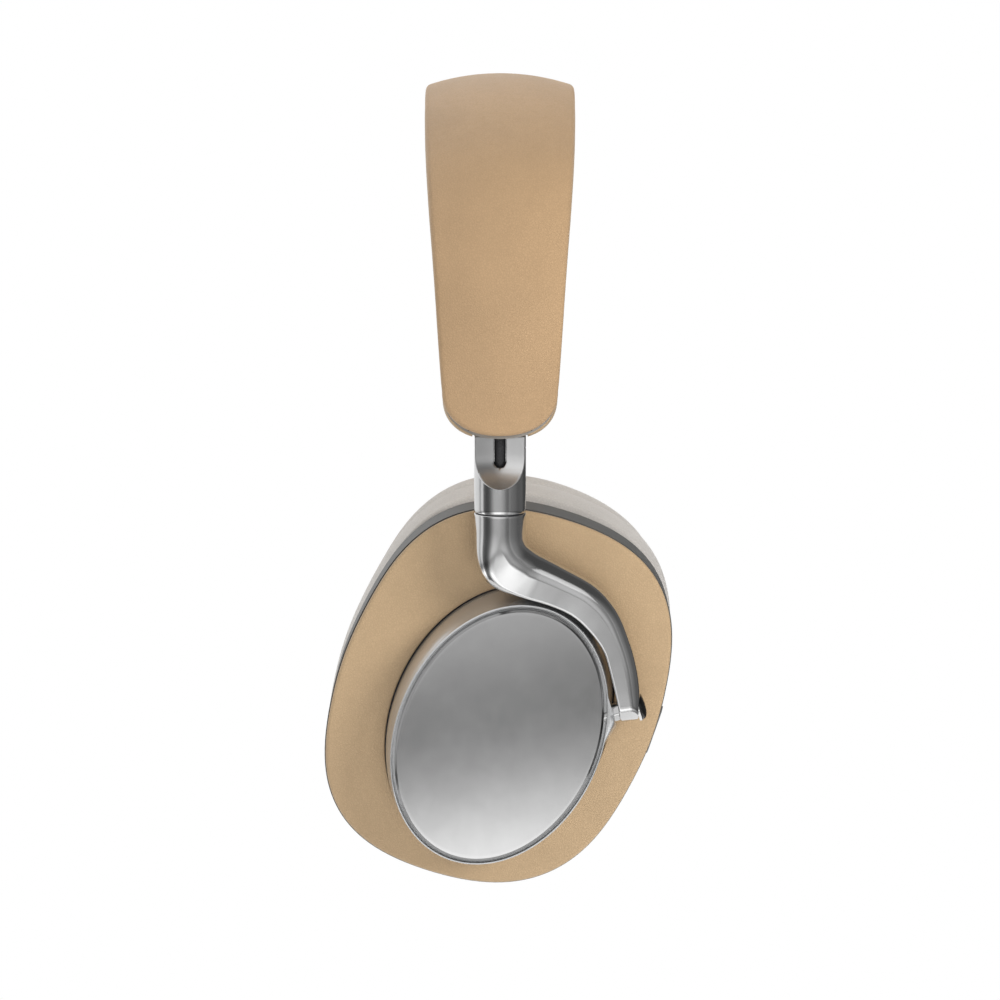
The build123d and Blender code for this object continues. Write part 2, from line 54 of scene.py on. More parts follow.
CROWN_TOP, END_X, END_Z, STRAIGHT, CORNER_R = 14.0, 79.83, -81.6, 32.0, 46.0
SECTION_R = 60.5
P1 = (END_X + STRAIGHT * ST, END_Z + STRAIGHT * CT)
C2 = (P1[0] - CORNER_R * CT, P1[1] + CORNER_R * ST)
_bz = C2[1] - CROWN_TOP
R1 = (CORNER_R ** 2 - C2[0] ** 2 - _bz ** 2) / (2 * _bz + 2 * CORNER_R)
C1Z = CROWN_TOP - R1
TURN = atan2(C2[0], C2[1] - C1Z)
S1 = R1 * TURN
S2 = CORNER_R * (pi / 2 + TL - TURN)
S_END = S1 + S2 + STRAIGHT


def arch(s, y, d):
    """band: arc length s from the crown (left positive), y across, depth d inward, mm"""
    q = abs(s)
    if q <= S1:
        a = q / R1
        p = (R1 * sin(a), C1Z + R1 * cos(a))
        nx, nz = sin(a), cos(a)
    elif q <= S1 + S2:
        a = TURN + (q - S1) / CORNER_R
        nx, nz = sin(a), cos(a)
        p = (C2[0] + CORNER_R * nx, C2[1] + CORNER_R * nz)
    else:
        nx, nz = CT, -ST
        e = q - S1 - S2
        p = (P1[0] - e * ST, P1[1] - e * CT)
    x = p[0] - d * nx
    z = p[1] - d * nz
    return (x if s >= 0 else -x, y, z)


def arch_z(s):
    return arch(abs(s), 0, 0)[2]


HALF = [(22.0, 19.95), (8.9, 19.5), (-2.0, 19.0), (-12.6, 18.35), (-23.2, 17.68), (-33.2, 16.98),
        (-42.6, 16.38), (-53.0, 15.78), (-62.5, 15.15), (-68.0, 14.75), (-72.0, 14.35)]
_hz = np.array([h[0] for h in HALF][::-1])
_hw = np.array([h[1] for h in HALF][::-1])


def half_w(z):
    return float(np.interp(z, _hz, _hw))


def arc_d(y, d0=0.0):
    r = SECTION_R - d0
    return SECTION_R - sqrt(max(r * r - y * y, 1.0))


OUT = [45.986, -2.919, 3.785, -0.516, 1.254, -0.253, -0.457, 0.008, -0.076]
CTR = (-0.5, 7.2)


def radius(t):
    """cup outline about CTR, t in radians"""
    r = OUT[0]
    for i, k in enumerate((2, 4, 6, 8)):
        r += OUT[1 + 2 * i] * cos(k * t) + OUT[2 + 2 * i] * sin(k * t)
    return r


def cushion_grow(t):
    d = (math.degrees(t) - 78 + 180) % 360 - 180
    return 0.5 + 2.4 * exp(-(d / 40.0) ** 2)


def polar(t, r, n):
    return (CTR[0] + r * cos(t), CTR[1] + r * sin(t), n)


def out_normal(t, fn):
    """unit outward normal of the polar curve fn at t"""
    e = 1e-3
    a = (fn(t - e) * cos(t - e), fn(t - e) * sin(t - e))
    b = (fn(t + e) * cos(t + e), fn(t + e) * sin(t + e))
    tx, ty = b[0] - a[0], b[1] - a[1]
    L = hypot(tx, ty)
    return ty / L, -tx / L


def ell_pt(c, a, b, ang, t):
    """point of a rotated ellipse at parameter t"""
    x, y = a * cos(t), b * sin(t)
    g = radians(ang)
    return c[0] + x * cos(g) - y * sin(g), c[1] + x * sin(g) + y * cos(g)


def ell_ray(c, a, b, ang, t):
    """radius from CTR at polar angle t to a rotated ellipse that holds CTR"""
    g = radians(ang)
    dx, dy = cos(t - g), sin(t - g)
    ox, oy = CTR[0] - c[0], CTR[1] - c[1]
    px, py = ox * cos(g) + oy * sin(g), -ox * sin(g) + oy * cos(g)
    A = (dx / a) ** 2 + (dy / b) ** 2
    B = 2 * (px * dx / a ** 2 + py * dy / b ** 2)
    C = (px / a) ** 2 + (py / b) ** 2 - 1
    return (-B + sqrt(B * B - 4 * A * C)) / (2 * A)


# ------------------------------------------------------------------ mesh helpers
def new_object(name, verts, faces, mat, side="left", merge=0.002, sharp=None):
    """mesh from millimetre vertices; a right-hand piece is the mirror image"""
    k = -0.001 if side == "right" else 0.001
    me = bpy.data.meshes.new(name)
    me.from_pydata([(p[0] * k, p[1] * 0.001, p[2] * 0.001) for p in verts], [], faces)
    ob = bpy.data.objects.new(name, me)
    bpy.context.scene.collection.objects.link(ob)
    bm = bmesh.new()
    bm.from_mesh(me)
    bmesh.ops.remove_doubles(bm, verts=bm.verts, dist=merge * 0.001)
    bmesh.ops.dissolve_degenerate(bm, edges=bm.edges, dist=merge * 0.0005)
    bmesh.ops.recalc_face_normals(bm, faces=bm.faces)
    bm.to_mesh(me)
    bm.free()
    for p in me.polygons:
        p.use_smooth = True
    if sharp is not None:
        me.set_sharp_from_angle(angle=radians(sharp))
    me.materials.append(mat)
    return ob


def grid(rows, close_cols=False, close_rows=False, cap0=False, cap1=False):
    """verts and faces of a grid of points"""
    nr, nc = len(rows), len(rows[0])
    verts = [p for r in rows for p in r]
    faces = []
    for i in range(nr if close_rows else nr - 1):
        a, b = i * nc, ((i + 1) % nr) * nc
        for j in range(nc if close_cols else nc - 1):
            k = (j + 1) % nc
            faces.append((a + j, a + k, b + k, b + j))
    for cap, base, flip in ((cap0, 0, True), (cap1, (nr - 1) * nc, False)):
        if cap:
            pts = verts[base:base + nc]
            verts.append(tuple(sum(p[i] for p in pts) / nc for i in range(3)))
            c = len(verts) - 1
            for j in range(nc):
                k = (j + 1) % nc
                faces.append((base + j, c, base + k) if flip else (base + j, base + k, c))
    return verts, faces


def join(*parts):
    verts, faces = [], []
    for v, f in parts:
        o = len(verts)
        verts += v
        faces += [tuple(i + o for i in q) for q in f]
    return verts, faces


def catmull(keys, ts):
    """Catmull-Rom through rows of numbers, at parameters ts measured in rows"""
    K = np.array(keys, float)
    out = []
    for t in ts:
        i = min(int(t), len(K) - 2)
        f = t - i
        p0, p1, p2 = K[max(i - 1, 0)], K[i], K[i + 1]
        p3 = K[min(i + 2, len(K) - 1)]
        out.append(0.5 * ((2 * p1) + (-p0 + p2) * f + (2 * p0 - 5 * p1 + 4 * p2 - p3) * f * f
                          + (-p0 + 3 * p1 - 3 * p2 + p3) * f ** 3))
    return np.array(out)


def fillet_profile(pts, seg=6):
    """polyline with rounded corners: pts are (x, y, r)"""
    out = []
    n = len(pts)
    for i in range(n):
        x, y, r = pts[i]
        if i in (0, n - 1) or r <= 0:
            out.append((x, y))
            continue
        ax, ay = pts[i - 1][0] - x, pts[i - 1][1] - y
        bx, by = pts[i + 1][0] - x, pts[i + 1][1] - y
        la, lb = hypot(ax, ay), hypot(bx, by)
        ax, ay, bx, by = ax / la, ay / la, bx / lb, by / lb
        ang = math.acos(max(-1, min(1, ax * bx + ay * by)))
        d = min(r / math.tan(ang / 2), la * 0.49, lb * 0.49)
        rr = d * math.tan(ang / 2)
        mx, my = ax + bx, ay + by
        lm = hypot(mx, my)
        cx, cy = x + mx / lm * rr / sin(ang / 2), y + my / lm * rr / sin(ang / 2)
        s0 = atan2(y + ay * d - cy, x + ax * d - cx)
        s1 = atan2(y + by * d - cy, x + bx * d - cx)
        da = (s1 - s0 + pi) % (2 * pi) - pi
        for k in range(seg + 1):
            a = s0 + da * k / seg
            out.append((cx + rr * cos(a), cy + rr * sin(a)))
    return out


# ------------------------------------------------------------------ materials
class Mat:
    def __init__(self, name):
        m = bpy.data.materials.new(name)
        m.use_nodes = True
        self.m, self.t = m, m.node_tree
        self.t.nodes.clear()
        self.out = self.t.nodes.new("ShaderNodeOutputMaterial")
        self.b = self.t.nodes.new("ShaderNodeBsdfPrincipled")
        self.t.links.new(self.b.outputs[0], self.out.inputs[0])
        tc = self.t.nodes.new("ShaderNodeTexCoord")
        mp = self.t.nodes.new("ShaderNodeMapping")
        mp.inputs["Scale"].default_value = (1000, 1000, 1000)   # millimetres
        self.t.links.new(tc.outputs["Object"], mp.inputs[0])
        self.co = mp.outputs[0]

    def n(self, kind, **kw):
        nd = self.t.nodes.new("ShaderNode" + kind)
        for k, v in kw.items():
            if k.startswith("_"):
                setattr(nd, k[1:], v)
            else:
                nd.inputs[k.replace("_", " ")].default_value = v
        return nd

    def link(self, a, b):
        self.t.links.new(a, b)

    def scaled(self, s, rot=(0, 0, 0)):
        mp = self.n("Mapping")
        mp.inputs["Scale"].default_value = s if isinstance(s, tuple) else (s, s, s)
        mp.inputs["Rotation"].default_value = rot
        self.link(self.co, mp.inputs[0])
        return mp.outputs[0]

    def noise(self, scale, detail=3.0, rough=0.5, co=None):
        nd = self.n("TexNoise", Scale=scale, Detail=detail, Roughness=rough)
        self.link(co or self.co, nd.inputs["Vector"])
        return nd.outputs["Fac"]

    def voronoi(self, scale, feature="F1", co=None, rand=1.0):
        nd = self.n("TexVoronoi", _feature=feature, Scale=scale, Randomness=rand)
        self.link(co or self.co, nd.inputs["Vector"])
        return nd

    def ramp(self, fac, stops, interp="LINEAR"):
        nd = self.n("ValToRGB")
        cr = nd.color_ramp
        cr.interpolation = interp
        while len(cr.elements) < len(stops):
            cr.elements.new(0.5)
        for e, (p, c) in zip(cr.elements, stops):
            e.position = p
            e.color = c if len(c) == 4 else (*c, 1)
        self.link(fac, nd.inputs[0])
        return nd.outputs[0]

    def mixc(self, fac, a, b, mode="MIX"):
        nd = self.n("Mix", _data_type="RGBA", _blend_type=mode)
        for i, v in ((0, fac), (6, a), (7, b)):
            if hasattr(v, "is_linked"):
                self.link(v, nd.inputs[i])
            elif i == 0:
                nd.inputs[0].default_value = v
            else:
                nd.inputs[i].default_value = (*v, 1) if len(v) == 3 else v
        return nd.outputs[2]

    def math(self, op, a, b=0.0, c=None):
        nd = self.n("Math", _operation=op)
        for i, v in enumerate((a, b) if c is None else (a, b, c)):
            if hasattr(v, "is_linked"):
                self.link(v, nd.inputs[i])
            else:
                nd.inputs[i].default_value = v
        return nd.outputs[0]

    def maprange(self, v, a, b, c, d):
        nd = self.n("MapRange")
        self.link(v, nd.inputs[0])
        for i, x in enumerate((a, b, c, d)):
            nd.inputs[i + 1].default_value = x
        return nd.outputs[0]

    def bump(self, height, dist_mm, strength=1.0, prev=None):
        nd = self.n("Bump")
        nd.inputs["Strength"].default_value = strength
        nd.inputs["Distance"].default_value = dist_mm * 0.001
        self.link(height, nd.inputs["Height"])
        if prev is not None:
            self.link(prev, nd.inputs["Normal"])
        return nd.outputs[0]

    def set(self, **kw):
        for k, v in kw.items():
            k = k.replace("_", " ")
            if hasattr(v, "is_linked"):
                self.link(v, self.b.inputs[k])
            else:
                self.b.inputs[k].default_value = v if not isinstance(v, tuple) or len(v) != 3 else (*v, 1)
        return self


def lin(r, g, b):
    """sRGB bytes to linear"""
    return tuple(((c / 255 + 0.055) / 1.055) ** 2.4 if c / 255 > 0.04045 else c / 255 / 12.92 for c in (r, g, b))


def leather(name, base, grain=0.62, depth=0.05, rough=0.5, coat=0.0):
    m = Mat(name)
    dark = tuple(c * 0.80 for c in base)
    lite = tuple(min(c * 1.10, 1) for c in base)
    warp = m.n("VectorMath", _operation="ADD")
    wn = m.n("TexNoise", Scale=0.9, Detail=2.0)
    m.link(m.co, wn.inputs["Vector"])
    sc = m.n("VectorMath", _operation="SCALE")
    sc.inputs["Scale"].default_value = 0.5
    m.link(wn.outputs["Color"], sc.inputs[0])
    m.link(m.co, warp.inputs[0])
    m.link(sc.outputs[0], warp.inputs[1])
    cells = m.voronoi(1.0 / grain, "DISTANCE_TO_EDGE", co=warp.outputs[0])
    edge = m.maprange(cells.outputs["Distance"], 0.0, 0.22, 0.0, 1.0)
    fine = m.noise(5.0, 3.0, 0.6)
    broad = m.noise(0.035, 3.0, 0.55)
    mid = m.noise(0.35, 4.0, 0.6)
    col = m.mixc(m.maprange(broad, 0.3, 0.7, 0.0, 1.0), dark, lite)
    col = m.mixc(0.55, col, base)
    col = m.mixc(m.math("MULTIPLY", m.math("SUBTRACT", 1.0, edge), 0.28), col, tuple(c * 0.62 for c in base))
    col = m.mixc(m.math("MULTIPLY", m.maprange(mid, 0.35, 0.75, 0.0, 1.0), 0.16), col, tuple(c * 0.78 for c in base))
    b = m.bump(edge, depth, 0.75)
    b = m.bump(fine, depth * 0.5, 0.5, b)
    b = m.bump(mid, depth * 1.6, 0.5, b)
    r = m.math("ADD", m.math("MULTIPLY", mid, 0.14), rough - 0.07)
    r = m.math("ADD", r, m.math("MULTIPLY", m.math("SUBTRACT", 1.0, edge), 0.08))
    m.set(Base_Color=col, Roughness=r, Normal=b)
    m.b.inputs["Specular IOR Level"].default_value = 0.42
    m.b.inputs["Sheen Weight"].default_value = 0.12
    m.b.inputs["Sheen Roughness"].default_value = 0.5
    m.b.inputs["Coat Weight"].default_value = coat
    m.b.inputs["Coat Roughness"].default_value = 0.35
    return m.m


def metal(name, base, rough, cast=0.0, brushed=None, aniso=0.0, smudge=0.05):
    m = Mat(name)
    blotch = m.noise(0.12, 4.0, 0.6)
    fine = m.noise(7.0, 2.0, 0.6)
    col = m.mixc(m.maprange(blotch, 0.3, 0.7, 0.0, 1.0), tuple(c * 0.95 for c in base), tuple(min(1, c * 1.03) for c in base))
    r = m.math("ADD", m.math("MULTIPLY", blotch, smudge), rough - smudge / 2)
    b = None
    if cast > 0:
        b = m.bump(fine, cast, 0.6)
    if brushed:
        co = m.scaled(brushed[0], brushed[1])
        streak = m.noise(1.0, 4.0, 0.7, co=co)
        b = m.bump(streak, brushed[2], 0.8, b)
        r = m.math("ADD", r, m.math("MULTIPLY", streak, 0.06))
        col = m.mixc(m.math("MULTIPLY", streak, 0.10), col, tuple(c * 0.75 for c in base))
    m.set(Base_Color=col, Roughness=r)
    if b is not None:
        m.set(Normal=b)
    m.b.inputs["Metallic"].default_value = 1.0
    m.b.inputs["Anisotropic"].default_value = aniso
    return m.m


def plastic(name, base, rough, grain=2.5, depth=0.012, metallic=0.0, coat=0.0, fleck=0.0):
    m = Mat(name)
    g = m.noise(grain, 3.0, 0.6)
    blotch = m.noise(0.1, 3.0, 0.5)
    col = m.mixc(m.maprange(blotch, 0.3, 0.7, 0.0, 1.0), tuple(c * 0.93 for c in base), tuple(min(1, c * 1.05) for c in base))
    if fleck:
        v = m.noise(14.0, 1.0, 0.4)
        col = m.mixc(m.math("MULTIPLY", m.maprange(v, 0.45, 0.75, 0.0, 1.0), fleck), col, tuple(min(1, c * 1.6) for c in base))
    b = m.bump(g, depth, 0.7)
    r = m.math("ADD", m.math("MULTIPLY", blotch, 0.08), rough - 0.04)
    m.set(Base_Color=col, Roughness=r, Normal=b)
    m.b.inputs["Metallic"].default_value = metallic
    m.b.inputs["Coat Weight"].default_value = coat
    m.b.inputs["Coat Roughness"].default_value = 0.15
    return m.m


def woven(name, base, pitch=0.5, depth=0.08, rough=0.85):
    m = Mat(name)
    co = m.scaled(2 * pi / pitch)
    sep = m.n("SeparateXYZ")
    m.link(co, sep.inputs[0])
    a = m.math("SINE", sep.outputs[1])
    b = m.math("SINE", sep.outputs[2])
    w = m.math("MULTIPLY", a, b)
    h = m.math("ADD", m.math("MULTIPLY", w, 0.5), 0.5)
    fz = m.noise(8.0, 2.0, 0.6)
    # the colour follows the weave's height: darker in the low points and lighter on the raised crossings, a painted
    # shade and highlight over the same bump
    col = m.mixc(h, tuple(c * 0.45 for c in base), tuple(min(1, c * 1.5) for c in base))
    m.set(Base_Color=col, Roughness=rough, Normal=m.bump(fz, depth * 0.4, 0.6, m.bump(h, depth, 1.0)))
    return m.m


TAN = lin(194, 166, 130)
M_BAND = leather("tan_leather_band", lin(193, 160, 122), grain=0.62, depth=0.045, rough=0.52)
M_FACE = leather("tan_leather_face", TAN, grain=0.62, depth=0.045, rough=0.52)
# the pad's tan is the face leather's made 3% darker: a painted shade for the pad tucked under the band
M_PAD = leather("tan_leather_pad", tuple(c * 0.97 for c in TAN), grain=0.7, depth=0.055, rough=0.55)
M_CUSH = leather("grey_leather_cushion", lin(212, 207, 201), grain=0.75, depth=0.05, rough=0.55)
M_ARM = metal("satin_arm_aluminium", (0.70, 0.70, 0.70), 0.15, cast=0.002, smudge=0.03)
M_POL = metal("polished_pod", (0.63, 0.635, 0.64), 0.20, cast=0.0012, smudge=0.04)
M_POL.node_tree.nodes["Principled BSDF"].inputs["Metallic"].default_value = 0.8
# the disc's bevelled rim: a darker metal whose base colour is a painted dark reflection
M_RIM_PAINTED_DARK = metal("chamfer_painted_dark_reflection", (0.30, 0.30, 0.30), 0.12, smudge=0.02)
M_DISC = metal("satin_disc", (0.52, 0.52, 0.52), 0.115, brushed=((0.25, 9.0, 0.25), (0.0, 0.0, 0.0), 0.0006), smudge=0.02)
M_CHAM = metal("bright_chamfer", (0.86, 0.86, 0.85), 0.06, smudge=0.02)
M_SCOOP = metal("blasted_scoop", (0.76, 0.76, 0.76), 0.30, cast=0.002, smudge=0.03)
M_STEEL = metal("pin_steel", (0.62, 0.62, 0.62), 0.14, cast=0.001)
M_DARKST = metal("black_steel", (0.10, 0.10, 0.10), 0.35, cast=0.002)
M_SPRING = metal("spring_steel", (0.42, 0.42, 0.43), 0.3, brushed=((0.3, 6.0, 0.3), (0, 0, 0), 0.002))
M_HOUS = plastic("grey_satin_housing", lin(92, 92, 91), 0.48, grain=3.2, depth=0.010, metallic=0.0, fleck=0.25)
M_HOUS.node_tree.nodes["Principled BSDF"].inputs["Specular IOR Level"].default_value = 0.25
M_BTN = plastic("grey_satin_button", lin(128, 128, 126), 0.32, grain=3.2, depth=0.006, metallic=0.40)
M_TRIM = plastic("light_grey_trim", lin(150, 145, 138), 0.5)
M_BLACK = plastic("black_moulding", (0.022, 0.022, 0.024), 0.48)
M_GLOSS = plastic("gloss_black_cap", (0.004, 0.004, 0.004), 0.16, depth=0.003, coat=0.15)
M_CABLE = woven("black_braid", (0.030, 0.030, 0.032), pitch=0.35, depth=0.03, rough=0.55)
M_GRILLE = woven("black_scrim", (0.02, 0.02, 0.021), pitch=0.55, depth=0.12, rough=0.9)
M_BATT = plastic("battery_foil", (0.05, 0.05, 0.06), 0.35, metallic=0.5)
M_PCB = plastic("solder_mask", (0.01, 0.09, 0.045), 0.35, coat=0.3)
M_CONE = plastic("driver_cone", (0.03, 0.03, 0.032), 0.6, grain=1.2, depth=0.05)


def dress(node, mat):
    o = NODES[node]
    o.data.materials.clear()
    o.data.materials.append(mat)


def both(n):
    return [n + "_left", n + "_right"]


for names, mat in (
        (["headband_spring_strip"], M_SPRING), (["headband_link_cable"], M_CABLE),
        (both("band_end_trim"), M_TRIM), (both("slider_guide"), M_BLACK), (both("guide_screws"), M_DARKST),
        (both("slider_arm"), M_ARM), (both("arm_cable"), M_CABLE), (both("swivel_pin"), M_STEEL),
        (both("swivel_washer"), M_BLACK), (both("yoke_arm"), M_ARM), (both("pivot_pin"), M_STEEL),
        (both("pivot_cap"), M_GLOSS), (both("disc_plate"), M_DISC), (both("pod_bezel"), M_POL),
        (both("face_cover"), M_FACE), (both("cup_housing"), M_HOUS), (both("driver_baffle"), M_BLACK),
        (both("driver"), M_CONE), (both("driver_grille"), M_GRILLE), (both("cushion_plate"), M_BLACK),
        (both("ear_cushion"), M_CUSH), (both("baffle_screws"), M_DARKST),
        (["battery"], M_BATT), (["main_board", "control_board_left", "control_board_right"], M_PCB),
        (["usb_c_socket"], M_STEEL), (["headband_outer_cover"], M_BAND), (["headband_inner_pad"], M_PAD),
        (["quick_action_button", "volume_up_button", "multifunction_button", "volume_down_button",
          "power_switch"], M_BTN)):
    for nm in names:
        dress(nm, mat)


# ------------------------------------------------------------------ camera
cam = bpy.data.cameras.new("camera")
cam_ob = bpy.data.objects.new("camera", cam)
bpy.context.scene.collection.objects.link(cam_ob)
cam.sensor_width = 36.0
cam.lens = 147.42
cam.clip_end = 50
pitch = radians(2.0)
fwd = Vector((-cos(pitch), 0, -sin(pitch)))
cam_ob.matrix_world = Matrix.Translation((1.1, 0, -0.06172)) @ fwd.to_track_quat("-Z", "Y").to_matrix().to_4x4()
bpy.context.scene.camera = cam_ob

# ------------------------------------------------------------------ headband: outer cover
E_SUP, A_END, B_END = 2.2, 14.3, 11.0


def stations(inset, drop=0.0, n_side=56, n_end=22, sup=E_SUP):
    """(s, half width) down one side of the band's plan, for an outline moved in by inset"""
    zc = END_Z + B_END - drop
    s_c = S_END - (zc - END_Z) / CT
    out = []
    for i in range(n_side):
        s = s_c * i / n_side
        out.append((s, half_w(arch_z(s)) - inset))
    for i in range(n_end + 1):
        th = (pi / 2) * i / n_end
        w = (half_w(zc) - inset) * max(cos(th), 0.0) ** (2 / sup)
        z = zc - (B_END - inset) * sin(th) ** (2 / sup)
        out.append((S_END - (z - END_Z) / CT, w))
    return out


def band_shell(rings, drop=0.0, cols=25, top=None, bottom=None, sup=E_SUP):
    """closed shell over the whole arch. rings: (inset, extra depth fn) from the top edge to the bottom edge"""
    def full(inset):
        st = stations(inset, drop, sup=sup)
        return [(-s, w) for s, w in reversed(st)][:-1] + st
    V, F = [], []
    sides = []
    for inset, depth in rings:
        st = full(inset)
        sides.append([[arch(s, sg * w, depth(s, sg * w, w)) for s, w in st] for sg in (1, -1)])
    for k in (0, 1):
        v, f = grid([r[k] for r in sides])
        V, F = join((V, F), (v, f))
    for (inset, depth), fn in ((rings[0], top), (rings[-1], bottom)):
        st = full(inset)
        rows = []
        for s, w in st:
            row = []
            for j in range(cols):
                t = -1 + 2 * j / (cols - 1)
                y = w * t
                row.append(arch(s, y, fn(s, y, w)))
            rows.append(row)
        V, F = join((V, F), grid(rows))
    return V, F


COVER_T = 2.8
R_TOP, R_BOT = 1.15, 0.7
rings = []
for k in range(7):
    a = (pi / 2) * k / 6
    rings.append((R_TOP * (1 - sin(a)), (lambda dd: (lambda s, y, w: arc_d(y) + dd))(R_TOP * (1 - cos(a)))))
for k in range(5):
    a = (pi / 2) * k / 4
    rings.append((R_BOT * (1 - cos(a)), (lambda dd: (lambda s, y, w: arc_d(y) + dd))(COVER_T - R_BOT + R_BOT * sin(a))))


def cover_top(s, y, w):
    return arc_d(y)


V, F = band_shell(rings, top=cover_top, bottom=lambda s, y, w: arc_d(y) + COVER_T)
cover = new_object("headband_cover_leather", V, F, M_BAND)
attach(cover, "headband")
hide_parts("headband_outer_cover")

# ------------------------------------------------------------------ headband: inner pad
PAD_TOP = COVER_T + 0.12
PAD_D = 14.0


def pad_bottom(s, y, w):
    t = abs(y) / max(w, 0.1)
    return PAD_D - 0.1 - 1.0 * t * t


PR = 4.2


def roll(s):
    """how deep the rolled edge is: shallow at the band's ends, where the mouth for the arm is"""
    t = min(1.0, max(0.0, (abs(s) - (S_END - 22)) / 12))
    return PR + (1.0 - PR) * t * t * (3 - 2 * t)


prings = []
for inset, d in ((1.2, 0.0), (0.75, 0.10), (0.5, 0.35), (0.35, 0.8)):
    prings.append((inset, (lambda dd: (lambda s, y, w: arc_d(y) + PAD_TOP + dd))(d)))
side_n = 7
for k in range(1, side_n):
    f = k / side_n
    ins = 0.35 - 0.45 * sin(pi * f)

    def mk(f=f):
        return lambda s, y, w: (arc_d(y) + PAD_TOP + 0.8) * (1 - f) + (pad_bottom(s, y, w) - roll(s)) * f
    prings.append((ins, mk()))
for k in range(9):
    a = (pi / 2) * k / 8

    def mk(a=a):
        return lambda s, y, w: pad_bottom(s, y, w) - roll(s) * (1 - sin(a))
    prings.append((0.35 + PR * (1 - cos(a)), mk()))
V, F = band_shell(prings, drop=1.55, sup=2.5, top=lambda s, y, w: arc_d(y) + PAD_TOP, bottom=pad_bottom)
pad = new_object("headband_pad_leather", V, F, M_PAD)
# mouth for each sliding arm
cut_v, cut_f = [], []
for sx in (1, -1):
    ring0 = []
    prof = [(-6.95, 1.5), (6.95, 1.5), (6.95, 9.5), (4.8, 11.9), (-4.8, 11.9), (-6.95, 9.5)]
    rows = []
    for s in (S_END - 16, S_END + 8):
        rows.append([arch(s, y, d) for y, d in prof])
    if sx < 0:
        rows = [[(-p[0], p[1], p[2]) for p in r] for r in rows]
    cut_v, cut_f = join((cut_v, cut_f), grid(rows, close_cols=True, cap0=True, cap1=True))
cutter = new_object("tmp_cutter", cut_v, cut_f, M_PAD)
mod = pad.modifiers.new("mouth", "BOOLEAN")
mod.object, mod.operation, mod.solver = cutter, "DIFFERENCE", "EXACT"
dg = bpy.context.evaluated_depsgraph_get()
me = bpy.data.meshes.new_from_object(pad.evaluated_get(dg))
pad.modifiers.clear()
pad.data = me
bpy.data.objects.remove(cutter)
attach(pad, "headband")
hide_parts("headband_inner_pad")

# the channel that the arm slides in, set back inside the mouth
rows = []
for s, hw, d0, d1 in ((S_END - 34, 8.0, 2.2, 12.2), (S_END - 1.2, 8.0, 2.2, 12.2), (S_END - 1.2, 6.78, 2.7, 11.8),
                      (S_END - 34, 6.78, 2.7, 11.8)):
    rows.append([arch(s, y, d) for y, d in ((-hw, d0), (hw, d0), (hw, d1), (-hw, d1))])
gdv, gdf = grid(rows, close_cols=True, close_rows=True)
for side in SIDES:
    o = new_object("slider_guide_body_" + side, gdv, gdf, M_BLACK, side, sharp=30)
    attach(o, "headband")
    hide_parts("slider_guide_" + side)

# ------------------------------------------------------------------ yoke arm
RIBS = [
    ((-6.5, 56.25), (6.5, 56.25), 2.0, -11.0, 6.49, 6.49, 6.49, 6.49),
    ((-6.5, 51.5), (6.5, 51.8), 2.0, -11.0, 6.49, 6.49, 6.49, 6.49),
    ((-6.5, 48.2), (6.5, 49.7), 2.0, -10.9, 6.1, 6.4, 6.3, 6.3),
    ((-6.4, 45.4), (6.8, 48.4), 2.0, -10.7, 5.4, 6.2, 6.2, 6.2),
    ((-5.4, 41.9), (7.3, 47.7), 1.9, -10.5, 4.2, 6.1, 6.0, 5.8),
    ((-3.4, 39.2), (8.0, 47.1), 1.75, -10.3, 2.6, 6.1, 5.6, 5.4),
    ((-0.4, 37.4), (8.9, 46.4), 1.5, -10.1, 1.4, 6.0, 5.2, 5.0),
    ((3.2, 36.2), (9.8, 45.8), 1.15, -10.0, 0.8, 5.7, 4.8, 4.6),
    ((6.8, 35.0), (11.4, 44.9), 0.75, -9.9, 0.55, 5.2, 4.2, 4.2),
    ((12.6, 33.2), (17.0, 41.9), 0.25, -9.8, 0.5, 4.7, 3.6, 3.8),
    ((18.2, 30.5), (24.4, 37.5), -0.1, -9.7, 0.5, 4.3, 3.4, 3.4),
    ((22.7, 26.3), (29.7, 31.2), -0.3, -9.6, 0.5, 3.8, 3.2, 3.0),
    ((26.1, 21.4), (32.8, 23.6), -0.38, -9.5, 0.5, 3.4, 2.8, 2.6),
    ((27.8, 15.7), (34.5, 17.3), -0.42, -9.4, 0.5, 3.2, 2.4, 2.2),
    ((29.1, 10.3), (35.3, 11.5), -0.46, -9.4, 0.5, 3.0, 2.2, 2.0),
    ((29.9, 6.6), (35.3, 7.4), -0.5, -9.4, 0.5, 2.4, 2.0, 2.0),
]


def rr_section(w, nt, nb, r, seg=9, side=7):
    """rounded rectangle from (0, nt) clockwise: points (x, n)"""
    rit, rot, rob, rib = r
    pts = []

    def arc(cx, cy, rad, a0):
        for k in range(seg + 1):
            a = radians(a0 - 90.0 * k / seg)
            pts.append((cx + rad * cos(a), cy + rad * sin(a)))

    def run(p, q):
        for k in range(1, side):
            f = k / side
            f = 0.5 - 0.5 * cos(pi * f)
            pts.append((p[0] + (q[0] - p[0]) * f, p[1] + (q[1] - p[1]) * f))
    arc(w - rot, nt - rot, rot, 90)
    run(pts[-1], (w, nb + rob))
    arc(w - rob, nb + rob, rob, 0)
    run(pts[-1], (rib, nb))
    arc(rib, nb + rib, rib, -90)
    run(pts[-1], (0, nt - rit))
    arc(rit, nt - rit, rit, 180)
    run(pts[-1], (w - rot, nt))
    return pts


